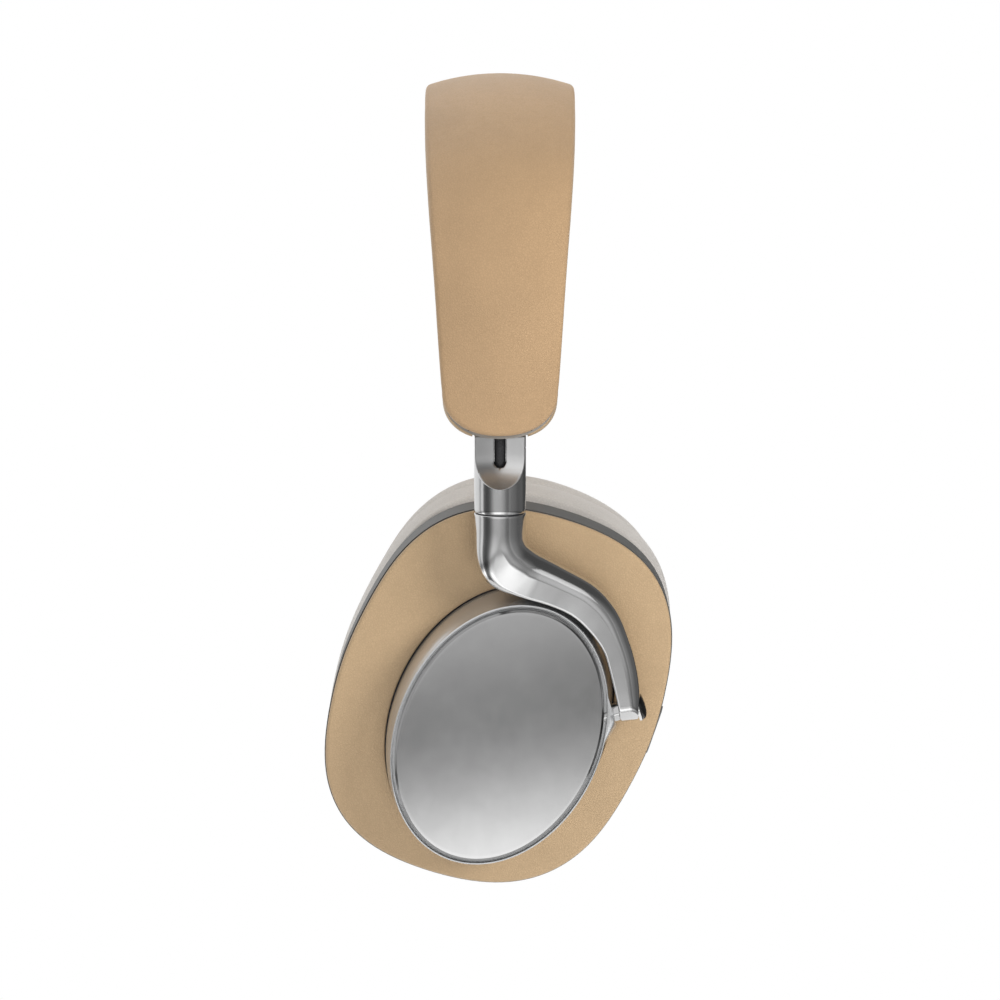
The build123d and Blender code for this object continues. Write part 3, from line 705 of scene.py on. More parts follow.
def yoke_mesh():
    """loft through the ribs, eased, with a rounded knuckle at the axle"""
    keys = [(a[0], a[1], b[0], b[1], nt, nb, *r) for a, b, nt, nb, *r in RIBS]
    chord = [0.0]
    for i in range(1, len(keys)):
        m0 = ((keys[i - 1][0] + keys[i - 1][2]) / 2, (keys[i - 1][1] + keys[i - 1][3]) / 2)
        m1 = ((keys[i][0] + keys[i][2]) / 2, (keys[i][1] + keys[i][3]) / 2)
        chord.append(chord[-1] + hypot(m1[0] - m0[0], m1[1] - m0[1]))
    ts = []
    for i in range(len(keys) - 1):
        steps = max(3, int((chord[i + 1] - chord[i]) / 0.7))
        ts += [i + k / steps for k in range(steps)]
    ts.append(len(keys) - 1)
    K = catmull(keys, ts)
    for _ in range(3):      # ease the kinks out of the edges
        K[1:-1, :4] = 0.25 * K[:-2, :4] + 0.5 * K[1:-1, :4] + 0.25 * K[2:, :4]
    rows = []

    def section(k, shrink=0.0, along=0.0):
        iu, iv, ou, ov, nt, nb, *r = k
        w = hypot(ou - iu, ov - iv)
        ex, ey = (ou - iu) / w, (ov - iv) / w
        tx, ty = ey, -ex
        r = [min(x, w / 2 - 0.005, (nt - nb) / 2 - 0.005) for x in r]
        pts = rr_section(w, nt, nb, r)
        cx, cn = w / 2, (nt + nb) / 2
        out = []
        for x, n in pts:
            if shrink:
                fx = 1 - 2 * shrink / w
                fn = 1 - 2 * shrink / (nt - nb)
                x, n = cx + (x - cx) * fx, cn + (n - cn) * fn
            out.append(cup(iu + ex * x + tx * along, iv + ey * x + ty * along, n))
        return out
    # small bevel at the seam
    rows.append(section(K[0], shrink=0.15, along=0.0))
    rows.append(section(K[0], shrink=0.045, along=0.045))
    rows.append(section(K[0], shrink=0.0, along=0.15))
    for k in K[1:-1]:
        rows.append(section(k))
    # the end is rounded about the axle
    last = list(K[-1])
    iu, iv, ou, ov, nt, nb = last[:6]
    w = hypot(ou - iu, ov - iv)
    ex, ey = (ou - iu) / w, (ov - iv) / w
    R, mid, half = 4.0, (nt + nb) / 2, (nt - nb) / 2
    for q in range(15):
        a = (pi / 2) * q / 14
        d = R * sin(a)
        h = max(half * cos(a) ** 0.86, 0.04)
        x = 0.9 * max(0.0, (d - R + 1.0)) ** 2
        k = [iu + ex * x + ey * d, iv + ey * x - ex * d, ou - ex * x + ey * d, ov - ey * x - ex * d,
             mid + h, mid - h] + [min(r, max(h * 0.9, 0.02)) if r > 1 else min(r, h * 0.5) for r in last[6:]]
        rows.append(section(k))
    return grid(rows, close_cols=True, cap0=True, cap1=True)


yv, yf = yoke_mesh()
PIVOT = (29.55, 5.0, -5.5)
PD = (cos(radians(16)), sin(radians(16)), 0.0)


def along_pivot(a, r, ang, c=PIVOT):
    """point at distance a along the pivot axis, radius r, angle ang"""
    e1 = (-PD[1], PD[0], 0.0)
    return (c[0] + PD[0] * a + e1[0] * r * cos(ang), c[1] + PD[1] * a + e1[1] * r * cos(ang), c[2] + r * sin(ang))


def turned(profile, segs=64, axis="pivot", cap0=True, cap1=True):
    """body of revolution about the pivot axis from (a, r) points"""
    rows = []
    for a, r in profile:
        rows.append([cup(*along_pivot(a, r, 2 * pi * k / segs)) for k in range(segs)])
    return grid(rows, close_cols=True, cap0=cap0, cap1=cap1)


for side in SIDES:
    y = new_object("yoke_arm_cast_" + side, yv, yf, M_ARM, side, sharp=50)
    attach(y, "yoke_" + side)
    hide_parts("yoke_arm_" + side)
    # axle and capped end
    prof = fillet_profile([(-4.0, 0.0, 0), (-4.0, 2.4, 0.3), (2.0, 2.4, 0)])
    v, f = turned(prof, 48)
    pp = new_object("pivot_axle_" + side, v, f, M_STEEL, side, sharp=40)
    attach(pp, "yoke_" + side)
    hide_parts("pivot_pin_" + side)
    prof = fillet_profile([(4.7, 3.3, 0), (5.2, 3.85, 0.1), (5.85, 3.85, 0.16), (6.05, 3.55, 0)])
    v, f = turned(prof, 72, cap0=True, cap1=True)
    rim = new_object("pivot_cap_rim_" + side, v, f, M_CHAM, side, sharp=40)
    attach(rim, "yoke_" + side)
    prof = [(5.8, 3.60), (6.05, 3.60)] + [(6.05 + 1.5 * sin(a), 3.60 * cos(a) ** 0.7)
                                         for a in (0.12, 0.3, 0.5, 0.7, 0.9, 1.1, 1.3, 1.45)] + [(7.55, 0.05)]
    v, f = turned(prof, 72)
    cp = new_object("pivot_cap_dome_" + side, v, f, M_GLOSS, side, sharp=60)
    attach(cp, "yoke_" + side)
    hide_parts("pivot_cap_" + side)

# ------------------------------------------------------------------ sliding arm with its scoop and slot
TUBE_R, TUBE_N, SEAM = 6.5, -4.5, 56.62
SL_R, SL_V, SL_END, SL_D = 1.6, 69.45, 107.5, 3.0     # slot radius, centre of its round end, far end, depth
SHOULDER, TOP_V = 73.0, 109.5


def scoop_base(v):
    t = min(1.0, max(0.0, (v - 63.05) / 9.0))
    return -3.8 + 5.8 * (1 - t) ** 2.4 if v > 63.05 else 2.0 + (63.05 - v) * 1.5


def trough(v):
    t = min(1.0, max(0.0, (78.0 - v) / 2.5))
    return t * t * (3 - 2 * t)


def scoop(v, y):
    return scoop_base(v) + 0.25 * (sqrt(y * y + 2.25) - 1.5) * trough(v)


def scoop_half(v):
    """half width of the scoop where it leaves the tube"""
    lo, hi = 0.0, TUBE_R
    if scoop(v, 0) >= TUBE_N + TUBE_R:
        return 0.0
    for _ in range(50):
        m = (lo + hi) / 2
        if scoop(v, m) < TUBE_N + sqrt(TUBE_R ** 2 - m * m):
            lo = m
        else:
            hi = m
    return lo


def slot_half(v, r):
    lo = SL_V - v
    if lo > 0:
        return sqrt(r * r - lo * lo) if lo < r else 0.0
    hi = v - (SL_END - r)
    if hi > 0:
        return sqrt(max(r * r - hi * hi, 0.0)) if hi < r else 0.0
    return r


def even(path, n):
    """n + 1 points evenly spaced along a polyline"""
    P = np.array(path)
    L = np.concatenate([[0], np.cumsum(np.hypot(*np.diff(P, axis=0).T))])
    t = np.linspace(0, L[-1], n + 1)
    return list(zip(np.interp(t, L, P[:, 0]), np.interp(t, L, P[:, 1])))


def arm_section(v, shrink=0.0, tongue=False):
    """closed ring of (y, n): round the back from the right edge of the scoop, then across the scoop"""
    M, K = 64, 12
    if tongue:
        yb = scoop_half(v)
        a0 = atan2(sqrt(max(TUBE_R ** 2 - yb * yb, 0)), yb) if scoop(v, yb) > TUBE_N else 0.0
        a0 = max(a0 - 0.02, 0.0)
        back = [(TUBE_R * cos(a0 * (1 - k / 8)), TUBE_N + TUBE_R * sin(a0 * (1 - k / 8))) for k in range(9)]
        back += [(5.0 + 1.5 * cos(radians(q)), -7.3 - 1.5 * sin(radians(q))) for q in range(0, 91, 10)]
        back += [(-y, n) for y, n in back[::-1]]
        back = even(back, M)
        front_y = yb - 0.14
    else:
        yb = scoop_half(v)
        bv = min(0.14, yb * 0.4)
        a0 = atan2(sqrt(max(TUBE_R ** 2 - yb * yb, 0)), yb) - bv / TUBE_R
        span = 2 * (a0 + pi / 2)
        back = [((TUBE_R - shrink) * cos(a0 - span * k / M), TUBE_N + (TUBE_R - shrink) * sin(a0 - span * k / M))
                for k in range(M + 1)]
        front_y = max(yb - bv, 0.0)
    wo = min(slot_half(v, SL_R + 0.13), front_y)
    ring = list(back)
    for sg in (-1, 1):
        seq = [wo + (front_y - wo) * k / K for k in range(K + 1)]
        if sg < 0:
            seq = seq[::-1]
        for y in seq:
            n = scoop(v, y) if yb > 0 else TUBE_N + TUBE_R - shrink
            ring.append((sg * y, n))
    return ring, M, K


def slider_mesh():
    st = [("b", SEAM, 0.15), ("b", SEAM + 0.045, 0.045), ("b", SEAM + 0.15, 0.0)]
    v_start = 60.0
    vs = list(np.linspace(SEAM + 1.0, v_start, 4))
    # the foot of the scoop, closely spaced where it opens
    lo, hi = 60.0, 66.0
    for _ in range(60):
        m = (lo + hi) / 2
        if scoop(m, 0) > TUBE_N + TUBE_R:
            lo = m
        else:
            hi = m
    foot = hi
    vs.append(foot - 0.4)
    for k in range(1, 15):
        vs.append(foot + 1.2 * (k / 14) ** 2)
    vs += list(np.arange(foot + 1.5, 67.2, 0.3))
    for k in range(0, 13):
        a = (pi / 2) * k / 12
        vs.append(SL_V - (SL_R + 0.13) * cos(a))
        vs.append(SL_V - SL_R * cos(a))
    vs += list(np.arange(SL_V + 0.5, SHOULDER - 0.4, 0.6))
    vs = sorted(set(round(x, 5) for x in vs if x > SEAM + 0.5))
    st += [("b", x, 0.0) for x in vs]
    st += [("b", SHOULDER - 0.35, 0.0), ("b", SHOULDER - 0.1, 0.09), ("b", SHOULDER, 0.3), ("t", SHOULDER, 0.0)]
    tv = list(np.arange(SHOULDER + 0.5, 79, 0.5)) + list(np.arange(80, SL_END - 2, 3.0))
    for k in range(0, 9):
        a = (pi / 2) * k / 8
        tv.append(SL_END - (SL_R + 0.13) + (SL_R + 0.13) * sin(a))
    tv += [SL_END + 0.5, TOP_V]
    st += [("t", x, 0.0) for x in sorted(set(round(x, 5) for x in tv))]
    rings = []
    for kind, v, sh in st:
        ring, M, K = arm_section(v, sh, kind == "t")
        rings.append([(y, v, n) for y, n in ring])
    nc = len(rings[0])
    gap = (M + 1) + K            # the column pair that spans the slot
    verts = [p for r in rings for p in r]
    faces = []
    for i in range(len(rings) - 1):
        va = (rings[i][0][1] + rings[i + 1][0][1]) / 2
        for j in range(nc):
            if j == gap and slot_half(va, SL_R + 0.13) > 0:
                continue
            k = (j + 1) % nc
            faces.append((i * nc + j, i * nc + k, (i + 1) * nc + k, (i + 1) * nc + j))
    for base, flip in ((0, True), ((len(rings) - 1) * nc, False)):
        verts.append((0.0, rings[0][0][1] if flip else TOP_V, TUBE_N if flip else -6.3))
        c = len(verts) - 1
        for j in range(nc):
            k = (j + 1) % nc
            faces.append((base + j, c, base + k) if flip else (base + j, base + k, c))
    # slot: chamfer, walls and floor
    rows = []
    for kind, v, sh in st:
        wo = slot_half(v, SL_R + 0.13)
        edge = abs(v - (SL_V - SL_R - 0.13)) < 2e-3 or abs(v - SL_END) < 2e-3
        if v < SL_V - SL_R - 0.131 or v > SL_END + 0.001 or sh:
            continue
        wi = slot_half(v, SL_R)
        if kind == "b" and v > SL_END - 3:
            continue
        top = scoop(v, wo)
        dep = 0.13 if wi > 0 or v > SL_V else max(0.0, v - (SL_V - SL_R - 0.13))
        f = scoop(v, 0) - SL_D
        if v < SL_V:
            f = scoop(SL_V, 0) - SL_D
        row = [(-wo, v, top), (-wi, v, top - dep), (-wi, v, f), (wi, v, f), (wi, v, top - dep), (wo, v, top)]
        rows.append(row)
    sv, sf = grid(rows)
    return join((verts, faces), (sv, sf))


av, af = slider_mesh()
av = [cup(*p) for p in av]
for side in SIDES:
    o = new_object("sliding_arm_cast_" + side, av, af, M_ARM, side, sharp=32, merge=0.004)
    # the dished face has a finer, duller blast than the turned tube
    o.data.materials.append(M_SCOOP)
    for q in o.data.polygons:
        c = q.center * 1000
        x = abs(c.x) - CUP_O[0]
        v, n = x * ST + (c.z - CUP_O[2]) * CT, x * CT - (c.z - CUP_O[2]) * ST
        if v > 63.2 and abs(n - scoop(v, c.y)) < 0.08 and abs(c.y) < 6.4:
            q.material_index = 1
    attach(o, "slider_" + side)
    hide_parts("slider_arm_" + side)


# ------------------------------------------------------------------ braided cable in the slot
def braid(path, r, turns, strands=8, seg=56, relief=0.085):
    """tube along a path of (y, v, n) with a plaited surface"""
    rows = []
    L = 0.0
    for i, p in enumerate(path):
        q0, q1 = path[max(i - 1, 0)], path[min(i + 1, len(path) - 1)]
        d = Vector(q1) - Vector(q0)
        if i:
            L += (Vector(p) - Vector(path[i - 1])).length
        d.normalize()
        e1 = Vector((1, 0, 0))
        e2 = d.cross(e1).normalized()
        row = []
        for k in range(seg):
            a = 2 * pi * k / seg
            ph = L * turns
            h = abs(sin(strands / 2 * (a + ph))) * abs(sin(strands / 2 * (a - ph)))
            rr = r * (1 - relief + relief * 2 * h ** 0.6)
            q = Vector(p) + e1 * (rr * cos(a)) + e2 * (rr * sin(a))
            row.append(tuple(q))
        rows.append(row)
    return rows


path = []
for k in range(300):
    v = 68.1 + 42.0 * k / 299
    dip = 1.1 * max(0.0, 1 - (v - 68.1) / 1.6) ** 2
    path.append((0.0, v, -5.20 - dip))
rows = [[cup(*p) for p in r] for r in braid(path, 1.38, 0.95, strands=8, relief=0.06)]
cv_, cf_ = grid(rows, close_cols=True, cap0=True, cap1=True)
for side in SIDES:
    o = new_object("arm_cable_braid_" + side, cv_, cf_, M_CABLE, side)
    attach(o, "slider_" + side)
    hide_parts("arm_cable_" + side)

# ------------------------------------------------------------------ pod
DISC = ((-0.17, -0.14), 33.56, 24.91, 66.3)
POD_BASE = ((-0.2, 1.6), 36.2, 27.3, 65.2)


def pod_ring(c, a, b, ang, n, N=288):
    pts = []
    for k in range(N):
        t = 2 * pi * k / N
        x, y = ell_pt(c, a, b, ang, t)
        pts.append((x, y, n))
    return pts


def lug_push(p):
    """the boss that takes the axle: a smooth flare cut off by a flat end"""
    d = (p[0] - PIVOT[0], p[1] - PIVOT[1], p[2] - PIVOT[2])
    a = d[0] * PD[0] + d[1] * PD[1]
    e = -d[0] * PD[1] + d[1] * PD[0]
    rr = sqrt(e * e + d[2] * d[2])
    if a > -12 and rr < 7.4:
        q = max(0.0, 1 - (rr / 7.4) ** 2)
        push = 3.3 * q ** 1.6
        na = min(a + push, max(-0.85, a))
        k = na - a
        return (p[0] + PD[0] * k, p[1] + PD[1] * k, p[2])
    return p


# how far the wall has come in from the base towards the rim: plain on the yoke's side, fuller on the other
WALL_PLAIN = [(-12.6, 0.0), (-10.5, 0.22), (-8.5, 0.42), (-6.5, 0.58), (-4.5, 0.74), (-2.8, 0.88), (-1.8, 0.96), (-1.25, 1.0)]
WALL_FULL = [(-12.6, 0.0), (-10.0, 0.05), (-7.5, 0.13), (-5.6, 0.25), (-4.2, 0.41), (-3.1, 0.60), (-2.2, 0.79), (-1.6, 0.93), (-1.25, 1.0)]


def wall_g(table, n):
    return float(np.interp(n, [q[0] for q in table], [q[1] for q in table]))


RIM_OUT, RIM_IN, RIM_N = 1.15, 0.72, -1.25


def pod_mesh():
    N = 360
    base = pod_ring(POD_BASE[0], 36.15, 27.25, 65.2, 0, N)
    rim = pod_ring(DISC[0], DISC[1] + RIM_OUT, DISC[2] + RIM_OUT, DISC[3], 0, N)
    # start each ring at the same direction, so the two ellipses pair up
    rows = []
    inner = pod_ring(POD_BASE[0], 35.4, 26.5, 65.2, -14.6, N)
    rows.append(inner)
    rows.append(pod_ring(POD_BASE[0], 36.15, 27.25, 65.2, -13.6, N))
    ns = [-12.6 + (RIM_N + 12.6) * (1 - (1 - k / 34) ** 1.6) for k in range(35)]
    for n in ns:
        row = []
        for p, q in zip(base, rim):
            wgt = min(1.0, max(0.0, (-2.0 - p[0]) / 15.0))
            wgt = wgt * wgt * (3 - 2 * wgt)
            g = wall_g(WALL_PLAIN, n) * (1 - wgt) + wall_g(WALL_FULL, n) * wgt
            row.append(lug_push((p[0] + (q[0] - p[0]) * g, p[1] + (q[1] - p[1]) * g, n)))
        rows.append(row)
    for ins, n in ((RIM_OUT - 0.06, RIM_N + 0.12), (RIM_OUT - 0.16, RIM_N + 0.17), (RIM_IN + 0.10, RIM_N + 0.17),
                   (RIM_IN + 0.03, RIM_N + 0.13), (RIM_IN, RIM_N + 0.05), (RIM_IN, -3.4), (-4.0, -3.4)):
        row = pod_ring(DISC[0], DISC[1] + ins, DISC[2] + ins, 66.3, n, N)
        if ins > RIM_IN + 0.2:
            row = [lug_push(p) for p in row]
        rows.append(row)
    # ease the table's corners out of the wall
    R = np.array(rows)
    for _ in range(4):
        R[3:36, :, :2] = 0.25 * R[2:35, :, :2] + 0.5 * R[3:36, :, :2] + 0.25 * R[4:37, :, :2]
    rows = [[cup(*p) for p in r] for r in R.tolist()]
    return grid(rows, close_cols=True, cap0=True, cap1=True)


pv, pf = pod_mesh()


def disc_mesh():
    c, a, b, ang = DISC
    CH = 0.62

    def dome(f):
        return 0.40 - 0.60 * f * f
    edge_n = dome(1.0)
    a1, b1 = a - CH, b - CH
    out = []
    for f in np.linspace(0.03, 0.996, 40):
        out.append(pod_ring(c, a1 * f, b1 * f, ang, dome(f), 360))
    for g, drop in ((0.02, 0.005), (0.08, 0.035), (0.15, 0.085)):
        out.append(pod_ring(c, a1 + CH * g, b1 + CH * g, ang, edge_n - drop, 360))
    for g in (0.55, 0.96):
        out.append(pod_ring(c, a1 + CH * g, b1 + CH * g, ang, edge_n - 0.085 - 0.62 * (g - 0.15), 360))
    out.append(pod_ring(c, a, b, ang, edge_n - 0.68, 360))
    out.append(pod_ring(c, a, b, ang, -2.9, 360))
    out = [[cup(*p) for p in r] for r in out]
    return grid(out, close_cols=True, cap0=True, cap1=True)


dv, df = disc_mesh()
for side in SIDES:
    p = new_object("pod_shell_" + side, pv, pf, M_POL, side, sharp=60)
    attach(p, "cup_" + side)
    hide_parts("pod_bezel_" + side)
    d = new_object("oval_disc_" + side, dv, df, M_DISC, side, sharp=28)
    d.data.materials.append(M_RIM_PAINTED_DARK)
    # the bevelled rim of the disc is polished, with a darker base colour than the face: a painted dark reflection
    cx = Vector([c * 0.001 for c in cup(DISC[0][0], DISC[0][1], 0)])
    if side == "right":
        cx.x = -cx.x
    nrm = Vector((CT if side == "left" else -CT, 0, -ST))
    for q in d.data.polygons:
        dot = q.normal.dot(nrm)
        if 0.3 < dot < 0.80:
            q.material_index = 1
    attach(d, "cup_" + side)
    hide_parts("disc_plate_" + side)

# ------------------------------------------------------------------ leather face of the cup
FACE_TOP, FACE_R, FACE_BACK = -11.2, 450.0, -15.4
NT = 240


def face_n(r):
    return FACE_TOP - r * r / (2 * FACE_R)


def face_mesh():
    rows = []
    ts = [2 * pi * k / NT for k in range(NT)]
    rin = [ell_ray(POD_BASE[0], 36.0, 27.1, 65.2, t) for t in ts]
    ro = [radius(t) for t in ts]
    nr = [out_normal(t, radius) for t in ts]
    # down the inside, next to the pod
    rin = [a + 0.62 for a in rin]
    rows.append([polar(t, a - 0.18, -14.4) for t, a in zip(ts, rin)])
    rows.append([polar(t, a - 0.16, face_n(a) - 0.62) for t, a in zip(ts, rin)])
    rows.append([polar(t, a - 0.12, face_n(a) - 0.22) for t, a in zip(ts, rin)])
    rows.append([polar(t, a + 0.02, face_n(a) - 0.05) for t, a in zip(ts, rin)])
    rows.append([polar(t, a + 0.22, face_n(a)) for t, a in zip(ts, rin)])
    E = 1.1
    for k in range(1, 25):
        f = k / 24
        row = []
        for t, a, b in zip(ts, rin, ro):
            r = a + (b - E - a) * f
            row.append(polar(t, r, face_n(r)))
        rows.append(row)
    # rolled edge: a quarter turn about a centre 1.5 mm inside the outline
    for k in range(1, 9):
        ph = (pi / 2) * k / 8
        row = []
        for t, b, (nx, ny) in zip(ts, ro, nr):
            r = b - E
            n0 = face_n(r)
            off = E * sin(ph) - E
            row.append((CTR[0] + b * cos(t) + nx * off, CTR[1] + b * sin(t) + ny * off, n0 - E * (1 - cos(ph)) * 0.86))
        rows.append(row)
    for off, n in ((-0.05, -15.25), (-0.45, -15.42), (-2.5, -15.42)):
        rows.append([(CTR[0] + b * cos(t) + nx * off, CTR[1] + b * sin(t) + ny * off, n)
                     for t, b, (nx, ny) in zip(ts, ro, nr)])
    rows = [[cup(*p) for p in r] for r in rows]
    return grid(rows, close_cols=True, close_rows=True)


fv, ff = face_mesh()
# a black ring sunk in the gap between the leather's inner edge and the pod: a dark piece standing in for the shadow
# there, painted shade
gk = []
for off, n in ((-0.25, -14.9), (-0.25, -13.25), (0.0, -13.1), (0.55, -13.1), (0.75, -13.25), (0.75, -14.9)):
    gk.append([cup(*p) for p in pod_ring(POD_BASE[0], 36.15 + off, 27.25 + off, 65.2, n, 240)])
gv, gf = grid(gk, close_cols=True, close_rows=True)
for side in SIDES:
    g = new_object("pod_gap_painted_shade_ring_" + side, gv, gf, M_BLACK, side, sharp=50)
    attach(g, "cup_" + side)
    o = new_object("face_leather_" + side, fv, ff, M_FACE, side)
    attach(o, "cup_" + side)
    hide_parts("face_cover_" + side)

# ------------------------------------------------------------------ ear cushions
EAR_A, EAR_B = 31.0, 22.5


def cush_out(t):
    return radius(t) + cushion_grow(t)


def cushion_mesh():
    NC = 420
    ts = [2 * pi * k / NC for k in range(NC)]

    def pucker(t):
        """small gathers of the leather along a seam"""
        w = 0.6 + 0.4 * sin(3 * t + 1.0) * sin(5 * t)
        return w * (0.50 * sin(31 * t + 1.3) + 0.30 * sin(47 * t + 0.4) + 0.20 * sin(67 * t + 2.0))

    def swell(t):
        """the foam's slow unevenness"""
        return 0.6 * sin(2 * t + 0.7) + 0.4 * sin(5 * t + 2.1)
    ro = [cush_out(t) for t in ts]
    nr = [out_normal(t, cush_out) for t in ts]
    ri = [ell_ray(CTR, EAR_A, EAR_B, 93.0, t) for t in ts]
    prof = []     # (kind, offset, n): offset from the outer outline or blend across to the ear opening
    for off, n in ((-3.2, -30.9), (-1.4, -31.0), (-0.9, -31.5), (-0.75, -32.2)):
        prof.append(("o", off, n))
    for k in range(11):
        f = k / 10
        prof.append(("o", -0.75 + 0.75 * sin(pi / 2 * min(1, f * 1.5)), -32.6 - 11.2 * f))
    R = 8.0
    for k in range(1, 12):
        a = (pi / 2) * k / 11
        prof.append(("o", -R * (1 - cos(a)), -43.8 - 7.6 * sin(a)))
    rows = []
    for kind, off, n in prof:
        k = 0.09 * max(0.0, 1 - abs(n + 34.2) / 2.6)
        rows.append([(CTR[0] + r * cos(t) + nx * (off + k * pucker(t)), CTR[1] + r * sin(t) + ny * (off + k * pucker(t)), n)
                     for t, r, (nx, ny) in zip(ts, ro, nr)])
    # flat crown across to the inner edge, a sunk seam, then the inner wall
    m = 11
    for k in range(1, m + 1):
        f = k / m
        row = []
        for t, r, (nx, ny), a in zip(ts, ro, nr, ri):
            x0, y0 = CTR[0] + r * cos(t) - nx * R, CTR[1] + r * sin(t) - ny * R
            x1, y1 = CTR[0] + (a + 4.6) * cos(t), CTR[1] + (a + 4.6) * sin(t)
            row.append((x0 + (x1 - x0) * f, y0 + (y1 - y0) * f,
                        -51.4 - (0.55 + 0.06 * swell(t)) * sin(pi * f) + 0.10 * pucker(t) * f * f * f))
        rows.append(row)
    for off, n in ((3.8, -51.25), (2.9, -50.9), (2.1, -50.3), (1.5, -49.5), (1.15, -48.7), (0.95, -48.0),
                   (1.35, -47.6), (0.85, -47.2), (0.45, -46.2), (0.2, -44.0), (0.1, -41.0), (0.1, -38.0),
                   (0.3, -35.0), (0.7, -32.6), (1.2, -31.4), (2.2, -30.9)):
        k = max(0.0, 1 - abs(n + 49.2) / 3.6)
        rows.append([polar(t, a + off + 0.12 * k * pucker(t), n + 0.14 * k * pucker(t)) for t, a in zip(ts, ri)])
    rows = [[cup(*p) for p in r] for r in rows]
    return grid(rows, close_cols=True, close_rows=True)


cv, cf = cushion_mesh()
for side in SIDES:
    o = new_object("ear_cushion_leather_" + side, cv, cf, M_CUSH, side)
    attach(o, "cup_" + side)
    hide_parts("ear_cushion_" + side)


# ------------------------------------------------------------------ lights, floor, world
def area(name, az, el, dist, size, power, size_y=None, target=(0.03, 0, -0.10), color=(1, 1, 1)):
    """softbox at an azimuth from +X towards +Y and an elevation, degrees"""
    a, e = radians(az), radians(el)
    loc = Vector(target) + Vector((cos(a) * cos(e), sin(a) * cos(e), sin(e))) * dist
    li = bpy.data.lights.new(name, "AREA")
    li.energy = power
    li.color = color
    li.shape = "RECTANGLE" if size_y else "SQUARE"
    li.size = size
    if size_y:
        li.size_y = size_y
    ob = bpy.data.objects.new(name, li)
    bpy.context.scene.collection.objects.link(ob)
    d = Vector(target) - loc
    ob.matrix_world = Matrix.Translation(loc) @ d.to_track_quat("-Z", "Y").to_matrix().to_4x4()
    ob.visible_camera = False
    return ob


# the boxes light the leather softly, and the metal mirrors the room's panels below
for nm_, az_, el_, di_, sz_, pw_ in (("key_right", 50, 16, 1.30, 0.50, 10.5), ("key_low", 14, -24, 1.2, 0.5, 2.9),
                                     ("fill_left", -48, 8, 1.3, 0.60, 0.5), ("top_back", 175, 50, 1.2, 0.8, 3.5),
                                     ("rear_soft", 160, 12, 1.3, 0.8, 8.0), ("rear_left", -140, 25, 1.3, 0.7, 1.0)):
    box_ = area(nm_, az_, el_, di_, sz_, pw_)
    box_.visible_glossy = False
# a narrow panel that only the metal picks up, at the bend of the arm
glint = area("glint_panel", 24, 22, 1.2, 0.48, 0.50)
glint.visible_diffuse = False
lit = bpy.data.collections.new("glint_receivers")
for side in SIDES:
    lit.objects.link(bpy.data.objects["yoke_arm_cast_" + side])
glint.light_linking.receiver_collection = lit

w = bpy.data.worlds.new("studio")
bpy.context.scene.world = w
w.use_nodes = True
nt = w.node_tree
nt.nodes.clear()


def wn(kind, **kw):
    nd = nt.nodes.new("ShaderNode" + kind)
    for k, v in kw.items():
        setattr(nd, k, v)
    return nd


def wramp(fac, stops):
    nd = wn("ValToRGB")
    while len(nd.color_ramp.elements) < len(stops):
        nd.color_ramp.elements.new(0.5)
    for e, (q, c) in zip(nd.color_ramp.elements, stops):
        e.position = q
        e.color = (c, c, c, 1)
    nt.links.new(fac, nd.inputs[0])
    return nd.outputs[0]


def wmap(v, lo, hi):
    nd = wn("MapRange")
    nt.links.new(v, nd.inputs[0])
    nd.inputs[1].default_value, nd.inputs[2].default_value = lo, hi
    return nd.outputs[0]


def wmath(op, x, y):
    nd = wn("Math", operation=op)
    for i, v in enumerate((x, y)):
        if hasattr(v, "is_linked"):
            nt.links.new(v, nd.inputs[i])
        else:
            nd.inputs[i].default_value = v
    return nd.outputs[0]


tc = wn("TexCoord")
sp = wn("SeparateXYZ")
nt.links.new(tc.outputs["Generated"], sp.inputs[0])
azim = wmath("ARCTAN2", sp.outputs[1], sp.outputs[0])
elev = wmath("ARCSINE", sp.outputs[2], 0.0)


def az_stops(pairs):
    return [((q + 180) / 360, c) for q, c in pairs]


def el_stops(pairs):
    return [((q + 90) / 180, c) for q, c in pairs]


# the walls of the studio, at half value: pale behind on the left, dark flags, a soft panel behind the camera
side = wramp(wmap(azim, -pi, pi), az_stops([
    (-180, 1.0), (-112, 1.0), (-104, 0.62), (-98, 0.50), (-93, 1.0), (-84, 1.0), (-79, 0.2), (-66, 0.10), (-56, 0.11),
    (-46, 0.19), (-36, 0.50), (-27, 0.86), (-18, 0.95), (3, 0.95), (10, 0.80), (18, 0.66), (27, 0.38), (36, 0.25),
    (41, 0.30), (45, 0.46), (50, 0.30), (66, 0.24), (88, 0.14), (115, 0.15), (135, 0.06), (165, 0.10), (179, 0.45)]))
low = wramp(wmap(elev, -pi / 2, pi / 2), el_stops([
    (-90, 0.25), (-40, 0.25), (-31, 0.70), (-26.5, 1.0), (-24, 0.98), (-22.4, 0.61), (-20.8, 0.38), (-18.4, 0.135),
    (-16.2, 0.135), (-14.6, 0.27), (-12.6, 0.38), (-4, 0.46), (30, 0.50)]))
high = wramp(wmap(elev, -pi / 2, pi / 2), el_stops([(-90, 0.0), (8, 0.0), (34, 1.0), (90, 1.0)]))
wall = wmath("MULTIPLY", side, low)
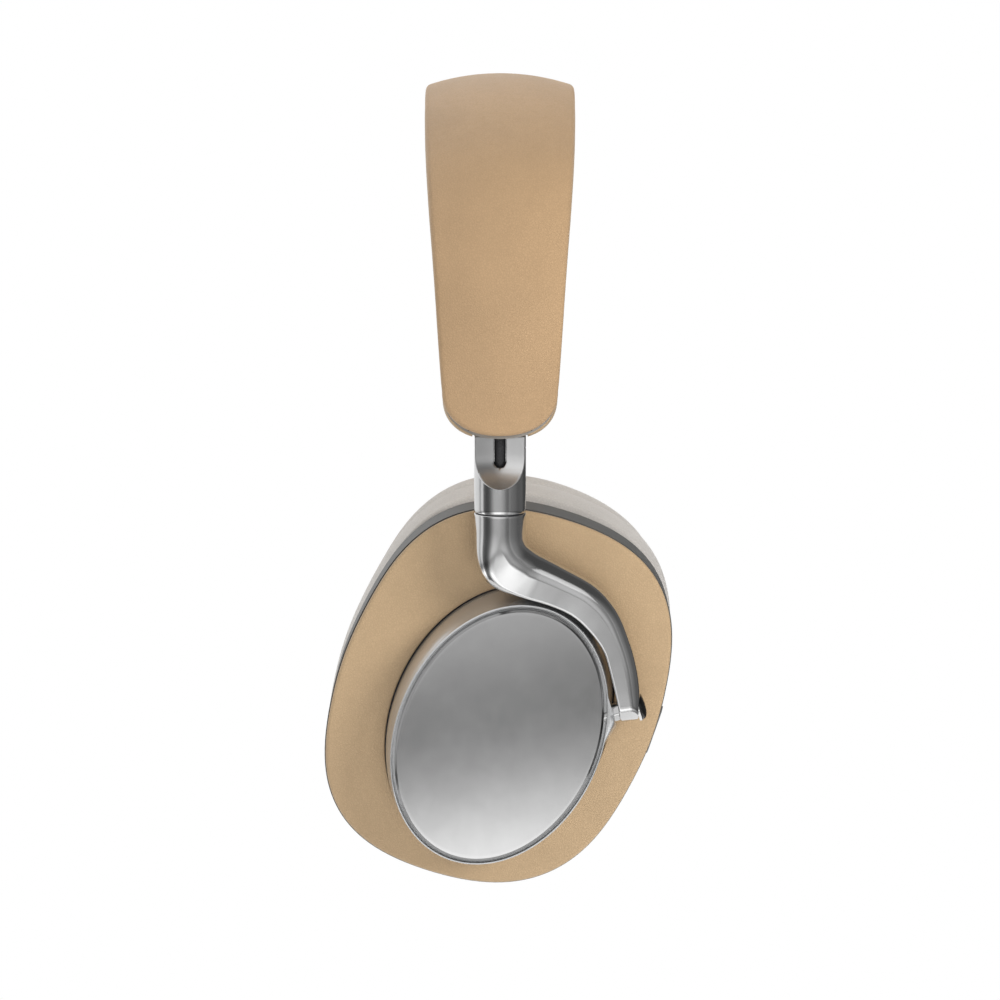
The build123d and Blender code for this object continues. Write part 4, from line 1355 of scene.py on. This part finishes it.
# overhead: pale behind the object and to the left, dim to the right
mixv = wn("Mix", data_type="FLOAT")
nt.links.new(high, mixv.inputs[0])
nt.links.new(wall, mixv.inputs[2])
back_ = wn("MapRange")
nt.links.new(sp.outputs["X"], back_.inputs[0])
left_ = wn("MapRange")
nt.links.new(sp.outputs["Y"], left_.inputs[0])
for i, (x, y) in enumerate(((-0.35, -0.36), (-0.05, 0.36), (0.44, 0.50), (0.0, 0.04))):
    back_.inputs[i + 1].default_value = x
    left_.inputs[i + 1].default_value = y
dim_ = wn("MapRange")
nt.links.new(sp.outputs["Y"], dim_.inputs[0])
for i, x in enumerate((-0.05, 0.25, 1.0, 0.15)):
    dim_.inputs[i + 1].default_value = x
behind = wmath("MULTIPLY", back_.outputs[0], dim_.outputs[0])
nt.links.new(wmath("MAXIMUM", behind, left_.outputs[0]), mixv.inputs[3])
bg = wn("Background")
bgc = wn("Background")
mx = wn("MixShader")
lp = wn("LightPath")
wo = wn("OutputWorld")
nt.links.new(mixv.outputs[0], bg.inputs[0])
bg.inputs[1].default_value = 2.0
bgc.inputs[0].default_value = (1, 1, 1, 1)
bgc.inputs[1].default_value = 1.0
nt.links.new(lp.outputs["Is Camera Ray"], mx.inputs[0])
nt.links.new(bg.outputs[0], mx.inputs[1])
nt.links.new(bgc.outputs[0], mx.inputs[2])
nt.links.new(mx.outputs[0], wo.inputs[0])
bpy.context.scene.view_settings.view_transform = "Standard"
bpy.context.scene.view_settings.look = "None"

# pale floor disc under the hanging headphones, in the white room
FZ, FR = -0.355, 0.30
rows = []
for r in np.linspace(0.02, FR, 12):
    rows.append([(r * 1000 * cos(2 * pi * k / 96), r * 1000 * sin(2 * pi * k / 96), FZ * 1000) for k in range(96)])
v, f = grid(rows, close_cols=True, cap0=True)
mf = Mat("pale_floor")
fn = mf.noise(0.01, 3.0, 0.5)
mf.set(Base_Color=mf.mixc(fn, (0.88, 0.88, 0.88), (0.92, 0.92, 0.92)), Roughness=0.75)
floor = new_object("floor", v, f, mf.m)
if floor.data.polygons[0].normal.z < 0:
    floor.data.flip_normals()
